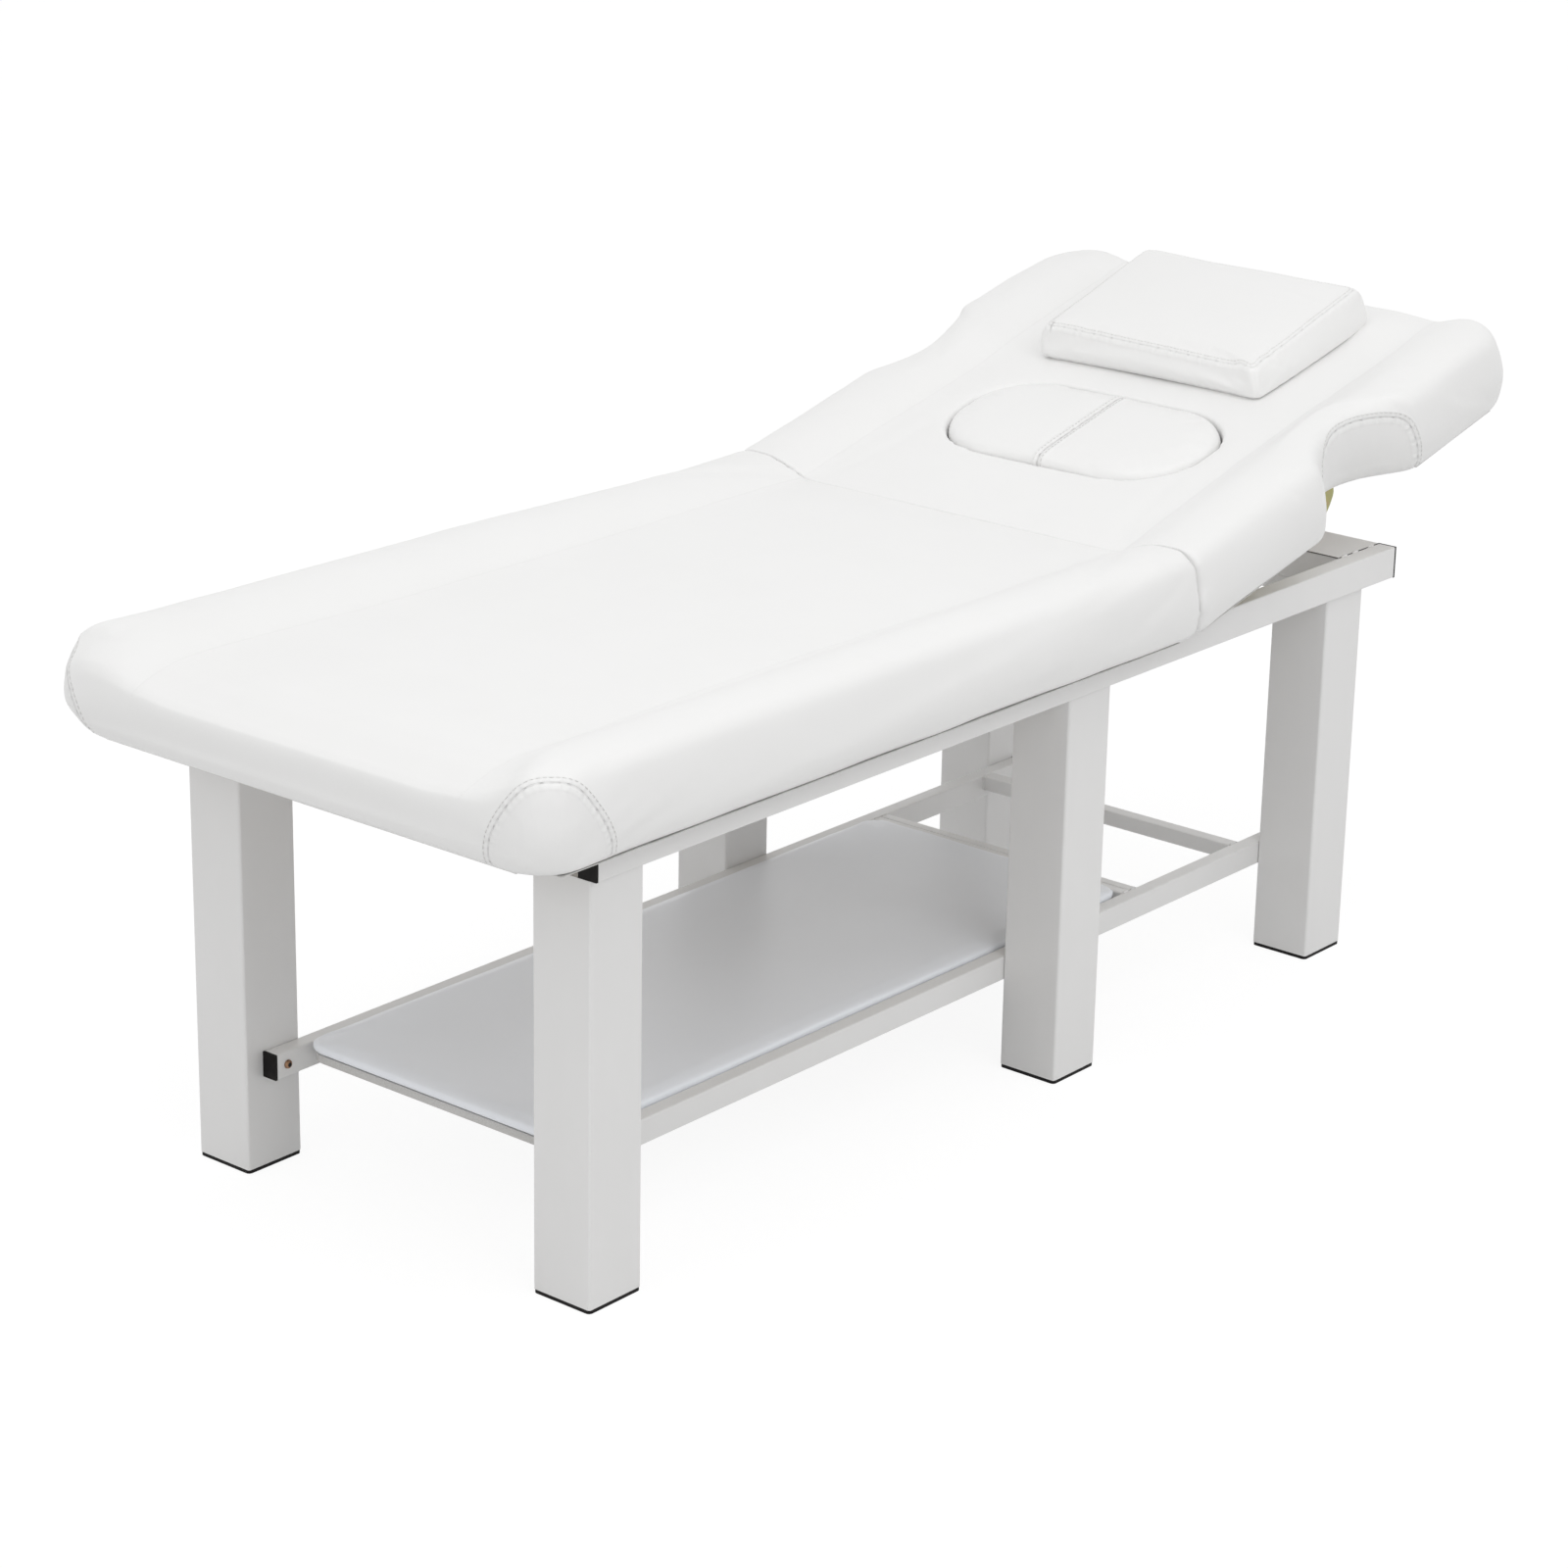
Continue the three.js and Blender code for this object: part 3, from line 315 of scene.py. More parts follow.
def thread(name):
    """Bonded polyester thread: twisted strands, with painted shade in the grooves between them."""
    shader = Shader(name)
    place = shader.place()
    x, y, z = shader.axes(place)
    twist = ((x + y + z) * 5200).math("SINE")
    fuzz = shader.noise(place, 2600, 3, 0.7)
    # painted shade: the colour is darker where the twist's bump is low, in the grooves between the strands
    color = shader.mix(twist.ramp(-0.6, 0.6), rgb(0.66, 0.655, 0.64), rgb(0.86, 0.855, 0.84))
    return shader.finish(color, fuzz * 0.2 + 0.5, shader.bump(twist + fuzz, 0.00015, 0.8))


WHITE_VINYL = vinyl("white_coated_fabric", rgb(0.9, 0.898, 0.892), rgb(0.852, 0.848, 0.84), 0.42)
SHELF_VINYL = vinyl("shelf_coated_fabric", rgb(0.93, 0.956, 1.0), rgb(0.9, 0.927, 0.97), 0.36)
PAINT = painted("white_powder_coat", rgb(0.845, 0.842, 0.838), rgb(0.795, 0.79, 0.782))
# the black plastic of the caps, and also the painted shade of the beam joints and the bolt sockets
BLACK_PLASTIC_AND_SHADE = moulded("black_plastic_and_painted_shade", rgb(0.008, 0.007, 0.007), rgb(0.022, 0.02, 0.019))
PLYWOOD = plywood("birch_plywood")
FACED_BOARD = faced_board("grey_faced_board")
YELLOW_ZINC = plated("yellow_passivated_zinc", rgb(0.42, 0.37, 0.14),
                     (rgb(0.36, 0.36, 0.17), rgb(0.44, 0.3, 0.2)), 0.3, 90, (1, 14, 14))
ZINC = plated("bright_zinc_plate", rgb(0.66, 0.67, 0.68),
              (rgb(0.58, 0.6, 0.63), rgb(0.74, 0.73, 0.7)), 0.26, 110, (14, 1, 14))
BRONZE = plated("bronzed_bolt_steel", rgb(0.36, 0.22, 0.12),
                (rgb(0.27, 0.16, 0.1), rgb(0.46, 0.3, 0.17)), 0.28, 900, (1, 1, 1))
STAPLE_STEEL = plated("galvanised_wire", rgb(0.62, 0.62, 0.63),
                      (rgb(0.52, 0.53, 0.55), rgb(0.7, 0.69, 0.66)), 0.3, 300, (1, 1, 1))
THREAD = thread("white_bonded_thread")
HEM_VINYL = hem_fabric("cover_hem_backing")

SLOT_MATERIALS = {
    "painted_steel": PAINT, "black_plastic": BLACK_PLASTIC_AND_SHADE, "plywood": PLYWOOD, "yellow_zinc": YELLOW_ZINC,
    "zinc_steel": ZINC, "brass_bolt": BRONZE, "upholstery": WHITE_VINYL, "shelf_vinyl": SHELF_VINYL,
    "grey_board": FACED_BOARD,
}
SLOT_OF = {row["node"]: row["material_slot"] for row in frame["record"]["subparts"]}


# Meshes

def link_mesh(name, vertices, faces):
    mesh = bpy.data.meshes.new(name)
    mesh.from_pydata([tuple(vertex) for vertex in vertices], [], [tuple(face) for face in faces])
    mesh.update()
    made = bpy.data.objects.new(name, mesh)
    bpy.context.scene.collection.objects.link(made)
    return made


def ring_faces(rings, sides, capped=True):
    """Faces between rings of points, each ring with that many points, and the two end caps."""
    faces = [(low + s, low + (s + 1) % sides, low + sides + (s + 1) % sides, low + sides + s)
             for low in range(0, (rings - 1) * sides, sides) for s in range(sides)]
    if capped:
        faces += [tuple(reversed(range(sides))), tuple((rings - 1) * sides + s for s in range(sides))]
    return faces


def shade(piece, smooth):
    piece.data.polygons.foreach_set("use_smooth", np.full(len(piece.data.polygons), smooth))


def rows_of(items, key):
    values = np.empty(len(items) * 3, np.float32)
    items.foreach_get(key, values)
    return values.reshape(-1, 3).astype(float)


def places(piece):
    return rows_of(piece.data.vertices, "co")


def normals(piece):
    return rows_of(piece.data.vertex_normals, "vector")


def move_to(piece, values):
    piece.data.vertices.foreach_set("co", values.astype(np.float32).ravel())
    piece.data.update()


def baked(piece):
    """Applies the piece's modifiers to its mesh."""
    seen = piece.evaluated_get(bpy.context.evaluated_depsgraph_get())
    mesh = bpy.data.meshes.new_from_object(seen)
    piece.modifiers.clear()
    old = piece.data
    piece.data = mesh
    mesh.name = piece.name
    bpy.data.meshes.remove(old)


def smooth_through(points, steps):
    """A smooth curve through rows of numbers, with that many steps between two rows."""
    rows = np.asarray(points, float)
    padded_rows = np.vstack([2 * rows[0] - rows[1], rows, 2 * rows[-1] - rows[-2]])
    made = []
    for i in range(len(rows) - 1):
        a, b, c, d = padded_rows[i:i + 4]
        for t in np.arange(steps) / steps:
            made.append(0.5 * (2 * b + (c - a) * t + (2 * a - 5 * b + 4 * c - d) * t ** 2
                               + (3 * b - a - 3 * c + d) * t ** 3))
    made.append(rows[-1])
    return np.array(made)


def smoothstep(values, low, high):
    share = np.clip((np.asarray(values, float) - low) / (high - low), 0, 1)
    return share * share * (3 - 2 * share)


def waves(values, length, seed, count=14):
    """Smooth noise from about -1 to 1 over rows of places, as a seeded sum of plane waves."""
    random = np.random.default_rng(seed)
    values = np.asarray(values, float).reshape(len(values), -1)
    total = np.zeros(len(values))
    for _ in range(count):
        direction = random.normal(size=values.shape[1])
        direction /= np.linalg.norm(direction)
        pace = 2 * math.pi / (length * random.uniform(0.7, 1.5))
        total += np.sin(values @ direction * pace + random.uniform(0, 2 * math.pi))
    return total / math.sqrt(count) / 1.2


def pad_outline(start, end, half, radius, pitch):
    """Outline points of a pad with rounded corners, in order round it."""
    corners = [(end - radius, -half + radius, -90), (end - radius, half - radius, 0),
               (start + radius, half - radius, 90), (start + radius, -half + radius, 180)]
    points = []
    turn_steps = max(4, int(radius * math.pi / 2 / pitch))
    for i, (x, y, angle) in enumerate(corners):
        for k in range(turn_steps + 1):
            at = math.radians(angle + 90 * k / turn_steps)
            points.append((x + radius * math.cos(at), y + radius * math.sin(at)))
        nx, ny, next_angle = corners[(i + 1) % 4]
        at = math.radians(next_angle)
        target = (nx + radius * math.cos(at), ny + radius * math.sin(at))
        last = points[-1]
        length = math.dist(last, target)
        for k in range(1, max(1, int(length / pitch))):
            share = k / max(1, int(length / pitch))
            points.append((last[0] + (target[0] - last[0]) * share, last[1] + (target[1] - last[1]) * share))
    return np.array(points)


def ring_form(name, outline, spine, profile, roll_at=None, notch_at=None):
    """A closed pad: each ring is the outline drawn in towards a spine by the profile's inset.
    Profile rows hold inset, height and side roll. All in millimetres, in the pad's own frame.
    roll_at gives the roll's share at a distance in from the pad's long side."""
    half = np.abs(outline[:, 1]).max()
    x, y = outline[:, 0], outline[:, 1]
    spine_x = np.clip(x, *spine)
    rows = []
    for inset, height, rise in profile:
        share = min(inset / half, 1)
        notch = notch_at(x, y, inset, height) if notch_at else 0
        drawn = np.sign(y) * np.maximum(np.abs(y) - notch * (np.abs(y) > half - 1), 0)
        lift = rise * roll_at(half - np.abs(y) * (1 - share)) if roll_at else 0
        rows.append(np.column_stack([spine_x + (x - spine_x) * (1 - share), drawn * (1 - share),
                                     np.broadcast_to(height + lift, len(x))]))
    return tidied(link_mesh(name, np.vstack(rows) * MM, ring_faces(len(rows), len(outline), False)))


@contextlib.contextmanager
def edited(piece):
    """The piece's mesh as a bmesh, which is written back at the end."""
    work = bmesh.new()
    work.from_mesh(piece.data)
    yield work
    work.to_mesh(piece.data)
    work.free()


def tidied(piece):
    with edited(piece) as work:
        bmesh.ops.remove_doubles(work, verts=work.verts, dist=0.02 * MM)
        bmesh.ops.dissolve_degenerate(work, edges=work.edges, dist=0.01 * MM)
        bmesh.ops.triangulate(work, faces=work.faces)
        bmesh.ops.recalc_face_normals(work, faces=work.faces)
    return piece


def cut_plane(piece, point, normal):
    """Takes away what lies on the normal's side of a plane and closes the cut."""
    with edited(piece) as work:
        parts = list(work.verts) + list(work.edges) + list(work.faces)
        bmesh.ops.bisect_plane(work, geom=parts, plane_co=point, plane_no=normal, clear_outer=True, dist=1e-6)
        bmesh.ops.holes_fill(work, edges=[edge for edge in work.edges if edge.is_boundary], sides=0)
        bmesh.ops.triangulate(work, faces=work.faces)


def prism(name, outline, low, high):
    """An upright block over an outline."""
    count = len(outline)
    vertices = np.vstack([np.column_stack([outline, np.full(count, low)]),
                          np.column_stack([outline, np.full(count, high)])]) * MM
    return tidied(link_mesh(name, vertices, ring_faces(2, count)))


def cut_with(piece, cutter):
    """Takes the cutter's shape out of the piece and the cutter out of the scene."""
    change = piece.modifiers.new("cut", "BOOLEAN")
    change.operation = "DIFFERENCE"
    change.solver = "EXACT"
    change.object = cutter
    baked(piece)
    bpy.data.objects.remove(cutter)


def remeshed(piece, size):
    change = piece.modifiers.new("skin", "REMESH")
    change.mode = "VOXEL"
    change.voxel_size = size * MM
    baked(piece)


def relaxed(piece, weight, rounds):
    """Evens the surface out where weight is above zero."""
    ends = np.empty(len(piece.data.edges) * 2, np.int32)
    piece.data.edges.foreach_get("vertices", ends)
    ends = ends.reshape(-1, 2)
    at = places(piece)
    count = np.bincount(ends.ravel(), minlength=len(at))
    weight = np.broadcast_to(weight, len(at))
    for _ in range(rounds):
        total = np.zeros_like(at)
        np.add.at(total, ends[:, 0], at[ends[:, 1]])
        np.add.at(total, ends[:, 1], at[ends[:, 0]])
        mean = total / np.maximum(count, 1)[:, None]
        at += (mean - at) * (0.5 * weight)[:, None]
    move_to(piece, at)


CLOTH_FRAMES = 20
FOAM_CLOTH = {"quality": 4, "mass": 0.35, "tension_stiffness": 22, "compression_stiffness": 22,
              "shear_stiffness": 8, "bending_stiffness": 1.5, "use_pressure": True}


def puffed(piece, held, pressure, cap, share=1.0):
    """Swells the skin with the cloth solver. held is 1 where the skin is fixed, and share is
    how much of the solver's move is kept."""
    scene = bpy.context.scene
    before = places(piece)
    group = piece.vertex_groups.new(name="held")
    for index, weight in enumerate(held):
        if weight > 0.01:
            group.add([index], float(weight), "REPLACE")
    change = piece.modifiers.new("cloth", "CLOTH")
    settings = change.settings
    for key, value in FOAM_CLOTH.items():
        setattr(settings, key, value)
    settings.vertex_group_mass = "held"
    settings.uniform_pressure_force = pressure
    settings.effector_weights.gravity = 0
    change.collision_settings.use_collision = False
    change.point_cache.frame_start = 1
    change.point_cache.frame_end = CLOTH_FRAMES
    for number in range(1, CLOTH_FRAMES + 1):
        scene.frame_set(number)
    baked(piece)
    scene.frame_set(1)
    move = places(piece) - before
    size = np.linalg.norm(move, axis=1)
    capped = cap * MM * np.tanh(size / (cap * MM))
    move *= np.divide(capped, size, out=np.zeros_like(size), where=size > 1e-9)[:, None]
    move_to(piece, before + move * (share * (1 - held))[:, None])


def subdivided(piece):
    change = piece.modifiers.new("finer", "SUBSURF")
    change.levels = change.render_levels = 1
    baked(piece)
    shade(piece, True)


def resample(path, pitch):
    """Evenly spaced points along a path of places."""
    points = np.asarray(path, float)
    lengths = np.linalg.norm(np.diff(points, axis=0), axis=1)
    run = np.concatenate([[0], np.cumsum(lengths)])
    count = max(2, int(round(run[-1] / pitch)) + 1)
    at = np.linspace(0, run[-1], count)
    return np.column_stack([np.interp(at, run, points[:, k]) for k in range(points.shape[1])])


def tree_of(piece):
    work = bmesh.new()
    work.from_mesh(piece.data)
    found = BVHTree.FromBMesh(work)
    work.free()
    return found


def snapped(tree, path):
    """Path points moved onto the surface, with the surface's normals there."""
    on, facing = [], []
    for point in path:
        location, normal, _, _ = tree.find_nearest(Vector(point))
        on.append(location)
        facing.append(normal)
    return np.array(on), np.array(facing)


def settled(tree, path):
    """A seam line laid on the surface, its small corners evened out."""
    line = snapped(tree, path)[0]
    for _ in range(6):
        line[1:-1] = (line[:-2] + 2 * line[1:-1] + line[2:]) / 4
        line = snapped(tree, line)[0]
    return line


def seam_field(at, facing, paths):
    """Signed distance from the nearest of several seams, the place along it, and which it is."""
    distance = np.full(len(at), 0.2)
    along = np.zeros(len(at))
    which = np.zeros(len(at), int)
    start = 0.0
    for number, path in enumerate(paths):
        a, b = path[:-1], path[1:]
        step = b - a
        size = np.maximum((step ** 2).sum(1), 1e-12)
        run = np.concatenate([[0], np.cumsum(np.sqrt(size))])
        close = np.flatnonzero(((at > path.min(0) - 0.05) & (at < path.max(0) + 0.05)).all(1))
        for chunk in np.array_split(close, max(1, len(close) // 20000)):
            if not len(chunk):
                continue
            off = at[chunk][:, None, :] - a[None]
            share = np.clip((off * step[None]).sum(2) / size[None], 0, 1)
            away = off - share[:, :, None] * step[None]
            far = np.linalg.norm(away, axis=2)
            best = far.argmin(1)
            rows = np.arange(len(chunk))
            side = np.cross(step[best], facing[chunk])
            sign = np.where((away[rows, best] * side).sum(1) >= 0, 1.0, -1.0)
            found = far[rows, best]
            nearer = found < np.abs(distance[chunk])
            picked = chunk[nearer]
            distance[picked] = (found * sign)[nearer]
            which[picked] = number
            along[picked] = start + (run[best] + share[rows, best] * np.sqrt(size[best]))[nearer]
        start += run[-1] + 0.37
    return distance, along, which


def store(piece, name, values):
    kind = "FLOAT_VECTOR" if values.ndim == 2 else "FLOAT"
    attribute = piece.data.attributes.new(name, kind, "POINT")
    attribute.data.foreach_set("vector" if values.ndim == 2 else "value", values.astype(np.float32).ravel())


def sewn(piece, seams, gather=0.5):
    """Draws the skin in along its seams and stores what the material needs. Each seam is a
    path, how deep it sits in millimetres, and the side and distance of its row of stitches."""
    at, facing = places(piece), normals(piece)
    depth = row = np.zeros(len(at))
    if seams:
        distance, along, which = seam_field(at, facing, [seam[0] for seam in seams])
        sink = np.array([seam[1] for seam in seams])[which]
        near = np.abs(distance)
        dip = np.exp(-(near / (3.2 * MM)) ** 2) * sink
        ridge = np.exp(-((near - 6 * MM) / (3 * MM)) ** 2) * sink * 0.35
        wrinkle = np.exp(-near / (11 * MM)) * waves(along[:, None], 17 * MM, 5) * gather * np.minimum(sink, 1)
        at = at + facing * ((ridge - dip + wrinkle * (near < 60 * MM)) * MM)[:, None]
        move_to(piece, at)
        depth = (1 - smoothstep(near, 11 * MM, 16 * MM)) * np.minimum(sink, 1)
        row = distance - np.array([seam[2] for seam in seams])[which] * MM
    else:
        distance, along = np.full(len(at), 0.2), depth
    for name, values in (("seam_distance", distance), ("seam_along", along), ("seam_depth", depth),
                         ("row_distance", row), ("rest", at)):
        store(piece, name, values)


def stitch_rows(name, tree, rows, length=4.6, gap=1.9, radius=0.42):
    """Sewing stitches along rows of places, each a short thread that dips in at both ends."""
    vertices, faces = [], []
    sections, sides = 6, 6
    for row in rows:
        path = resample(row, (length + gap) * MM)
        on, facing = snapped(tree, path)
        for i in range(len(on) - 1):
            a, b, up = Vector(on[i]), Vector(on[i + 1]), Vector(facing[i]).normalized()
            along = b - a
            if along.length < 1e-6:
                continue
            along.normalize()
            across = along.cross(up).normalized()
            up = across.cross(along).normalized()
            base = len(vertices)
            faces += [tuple(base + index for index in face) for face in ring_faces(sections + 1, sides)]
            for k in range(sections + 1):
                share = k / sections
                lift = math.sin(math.pi * share) ** 0.6 * radius * 0.9 - 0.25 * radius
                thick = radius * (0.45 + 0.55 * math.sin(math.pi * share) ** 0.5)
                centre = a + along * (share * length * MM) + up * (lift * MM)
                for s in range(sides):
                    turn = 2 * math.pi * s / sides
                    vertices.append(centre + (across * math.cos(turn) + up * math.sin(turn)) * (thick * MM))
    made = link_mesh(name, vertices, faces)
    shade(made, True)
    made.data.materials.append(THREAD)
    return made


def offset_row(tree, path, distance):
    """A seam line shifted sideways over the surface."""
    on, facing = snapped(tree, path)
    along = np.gradient(on, axis=0)
    side = np.cross(along, facing)
    side /= np.maximum(np.linalg.norm(side, axis=1), 1e-9)[:, None]
    return snapped(tree, on + side * distance * MM)[0]


def finished(piece, material, world):
    piece.data.transform(world)
    piece.data.materials.clear()
    piece.data.materials.append(material)


# Cushions of the two sections

HALF = 358
PAD_HEIGHT = 86
SIDE_RISE = 22
ROLL_WIDTH = 122
EDGE = ROLL_WIDTH * 0.26
FOOT_END = -130
FOOT_CORNER = 52
HEAD_END = 728
HEAD_CORNER = 68
BOARD_TOP = 15
BOARD_INSET = 33
BOARD_CLEARANCE = 14
NOTCH_PLACE = 376
NOTCH_HALF = 104
NOTCH_DEPTHS = (70, 44)
FAR_NOTCH_FILL = 16
HOLE_PLACE = 268
HOLE_SIZE = (199, 370)
HOLE_CORNER = 92
# the skin's way inwards before the cloth solver swells it, the most that it may come out again,
# and the share of the solver's move that the two section cushions keep
SKIN = 0.8
SECTION_SWELL = 5.0
SECTION_SHARE = 0.45
PRESSURE = 4.0
# how far a sewn seam, a side roll's crease and the line at the fold sit in the skin; the same depth sets how much
# painted shade the material puts along them
SEAM_DEPTH = 0.62
CREASE_DEPTH = 0.16
FOLD_DEPTH = 0.1
# where a seam's row of stitches goes when it has none: beyond what the material looks at
NO_ROW = 30
VOXEL = 7.0
FOLD_LEAN = REST_TILT / 2
FOLD_GAP = 0.25

SIDE_PROFILE = smooth_through(
    [(0.5 * EDGE, 0, 0), (0.3 * EDGE, 0.06 * PAD_HEIGHT, 0), (0.16 * EDGE, 0.18 * PAD_HEIGHT, 0),
     (0.06 * EDGE, 0.33 * PAD_HEIGHT, 0), (0, 0.52 * PAD_HEIGHT, 0.02 * SIDE_RISE),
     (0.06 * EDGE, 0.76 * PAD_HEIGHT, 0.14 * SIDE_RISE), (0.2 * EDGE, 0.92 * PAD_HEIGHT, 0.52 * SIDE_RISE),
     (0.46 * EDGE, 0.985 * PAD_HEIGHT, 0.84 * SIDE_RISE),
     (EDGE, PAD_HEIGHT, 0.98 * SIDE_RISE), (0.44 * ROLL_WIDTH, PAD_HEIGHT, SIDE_RISE),
     (0.6 * ROLL_WIDTH, PAD_HEIGHT, SIDE_RISE), (0.78 * ROLL_WIDTH, PAD_HEIGHT, SIDE_RISE),
     (0.92 * ROLL_WIDTH, PAD_HEIGHT, SIDE_RISE), (1.05 * ROLL_WIDTH, PAD_HEIGHT, SIDE_RISE)], 5)
PAD_PROFILE = np.vstack([[HALF, 0, 0], SIDE_PROFILE, [HALF, PAD_HEIGHT, SIDE_RISE]])
ROLL_CURVE = smooth_through([(-0.1, 1), (0, 1), (0.25, 1), (0.44, 0.99), (0.6, 0.88), (0.78, 0.53),
                             (0.92, 0.16), (1, 0)], 6)


def side_roll(distance):
    """How much of its rise the side roll has at a distance in from the pad's long side."""
    return np.interp(np.asarray(distance) / ROLL_WIDTH, ROLL_CURVE[:, 0], ROLL_CURVE[:, 1])


def notch_share(x):
    return np.maximum(0, 1 - ((x - NOTCH_PLACE) / NOTCH_HALF) ** 2)


def notch_depth(x, y, inset, height):
    """How far the notch draws the side in. The foam stands fuller at the top of the far one."""
    low, high = NOTCH_DEPTHS
    up = min(max(height / PAD_HEIGHT, 0), 1)
    depth = low + (high - low) * up - FAR_NOTCH_FILL * up * (y > 0)
    fade = 0 if inset >= HALF else 1 - smoothstep(inset, EDGE, ROLL_WIDTH)
    return depth * notch_share(x) * fade


def board_outline(start, end, corner, grow, notched=False):
    inset = BOARD_INSET - grow
    points = pad_outline(start, end, HALF, corner, 8)
    spine = (start + HALF, end - HALF)
    x = np.clip(points[:, 0], *spine)
    share = 1 - inset / HALF
    y = points[:, 1]
    if notched:
        y = np.sign(y) * (np.abs(y) - NOTCH_DEPTHS[0] * notch_share(points[:, 0]) * (np.abs(y) > HALF - 1))
    return np.column_stack([x + (points[:, 0] - x) * share, y * share])


def swollen(piece, held, inwards, cap, share=1.0):
    """Moves the skin inwards where it is free, and swells it out again with the cloth solver."""
    move_to(piece, places(piece) - normals(piece) * (inwards * MM * (1 - held))[:, None])
    puffed(piece, held, PRESSURE, cap, share)
    subdivided(piece)


def held_from(at, low, *others):
    """Fixed under the pad, and free above."""
    held = 1 - smoothstep(at[:, 2], (low + 2) * MM, (low + 14) * MM)
    for other in others:
        held = np.maximum(held, other)
    return held


def lower_edge_drape(at, seed):
    """The vinyl's lower edge rises and falls a little between the staples that hold it."""
    low = 1 - smoothstep(at[:, 2], 3 * MM, 34 * MM)
    run = np.column_stack([at[:, 0], np.sign(at[:, 1]) * 0.8])
    outer = smoothstep(np.abs(at[:, 1]), (HALF - 34) * MM, (HALF - 8) * MM)
    rise = (1 + waves(run, 170 * MM, seed)) * 1.1 * MM
    at[:, 2] += low * outer * np.clip(rise, 0, 3.4 * MM)
    at[:, 1] += np.sign(at[:, 1]) * low * outer * waves(run, 120 * MM, seed + 1) * 0.7 * MM
    return at


FOOT_DROOP = [(0, 0.8), (2.5, 0.66), (8, 0.58), (17, 0.6), (31, 0.7), (50, 0.85), (80, 0.98), (110, 1)]


def shaped_foot(piece):
    """The foot end's top slopes down to a crisp edge between the rolls, and the foam is fuller
    at the far foot corner and under the far roll."""
    at = places(piece) / MM
    x, y, z = at.T
    centre_x, centre_y = FOOT_END + FOOT_CORNER, HALF - FOOT_CORNER
    out_x, out_y = centre_x - x, abs(y) - centre_y
    inwards = np.where((out_x > 0) & (out_y > 0), FOOT_CORNER - np.hypot(out_x, out_y), x - FOOT_END)
    round_corner = np.where(out_y > 0, smoothstep(np.arctan2(out_x, out_y), 0.1, 0.9), 1)
    further_in = smoothstep(x, centre_x - 10, centre_x + 30)
    share = round_corner * (1 - further_in) + (1 - smoothstep(out_y, -45, 0)) * further_in
    share *= (1 - 0.28 * smoothstep(abs(y), 180, 240)) * (1 - smoothstep(-y, 268, 322))
    droop = 1 - (1 - np.interp(inwards, *zip(*FOOT_DROOP))) * share
    crest = smoothstep(z, 36, 60)
    z -= (z - 45) * (1 - droop) * crest * (z > 36)
    far = smoothstep(y, 190, 290) * (1 - smoothstep(x, 330, 880))
    z += 7 * far * smoothstep(z, 40, 95)
    y += 3.5 * far * smoothstep(z, 5, 34)
    reach = np.hypot(x - (FOOT_END + 16), y - (HALF - 16))
    swell = 12 * np.exp(-(reach / 80) ** 2) * (smoothstep(z, 0, 36) - 0.2 * smoothstep(z, 66, 100))
    x -= 0.64 * swell
    y += 0.77 * swell
    move_to(piece, np.column_stack([x, y, z]) * MM)


def shaped_head(piece):
    """Fuller foam under the far roll beyond the notch and along the head end."""
    at = places(piece) / MM
    x, y, z = at.T
    far = smoothstep(y, 180, 280) * smoothstep(x, 350, 430)
    end = smoothstep(x, 600, 690) * (1 - smoothstep(-y, 170, 290))
    top = smoothstep(z, 40, 90)
    corner = smoothstep(y, 230, 320) * smoothstep(x, 560, 690)
    z += np.maximum(7 * far, 9.5 * end) * (1 - 0.9 * corner) * top
    move_to(piece, np.column_stack([x, y, z]) * MM)


def squared_fold(piece, on_fold, across):
    """Squares the top edge of a fold face, so that the two covers meet there almost closed."""
    at = places(piece)
    reach = (np.array(on_fold) - at) @ np.array(across) / MM
    aside, height = np.abs(at[:, 1]) / MM, at[:, 2] / MM
    upper = SIDE_PROFILE[SIDE_PROFILE[:, 1] > 0.6 * PAD_HEIGHT]
    shoulder = np.interp(HALF - aside, upper[:, 0], upper[:, 1] + upper[:, 2])
    top = np.minimum(shoulder, PAD_HEIGHT + SIDE_RISE * side_roll(HALF - aside))
    share = smoothstep(height, top - 8, top - 3) * (1 - smoothstep(aside, 324, 344))
    at[:, 2] += (top - 0.2 - height) * share * (1 - smoothstep(reach, 5, 14)) * MM
    at += np.outer(reach * share * (1 - smoothstep(reach, 0.5, 4.5)), np.array(across)) * MM
    move_to(piece, at)


CORNER_SEAM = [(-120, -275, 3), (-127, -277, 18), (-129, -279.5, 31), (-130, -285, 44), (-128.5, -292.5, 59),
               (-126.5, -300, 70), (-122.5, -307, 80.5), (-117, -314, 89), (-111.5, -319, 93),
               (-104.5, -325.5, 95.7), (-97, -332.5, 96), (-88.5, -339, 95.3), (-81, -343.2, 93.5),
               (-74.5, -347, 90), (-68, -351, 83.5), (-61, -353.7, 74), (-54, -356, 64), (-45.5, -357, 52),
               (-38, -357.8, 39), (-31.5, -357, 26), (-28, -355.4, 15), (-26, -352, 4)]
FLAT_VALLEY = [(-126, -234), (5, -236), (226, -228), (381, -228), (545, -230), (714, -234), (886, -238),
               (978, -238)]
HEAD_VALLEY = [(6, -238), (126, -238), (258, -235), (391, -234), (515, -238), (636, -240), (724, -240)]


def valley_line(rows, side):
    """The crease at the foot of a side roll's inner slope, a little above the skin."""
    points = smooth_through(rows, 6)
    return resample(np.column_stack([points[:, 0] * MM, points[:, 1] * -side * MM,
                                     np.full(len(points), PAD_HEIGHT * MM + 12 * MM)]), 5 * MM)


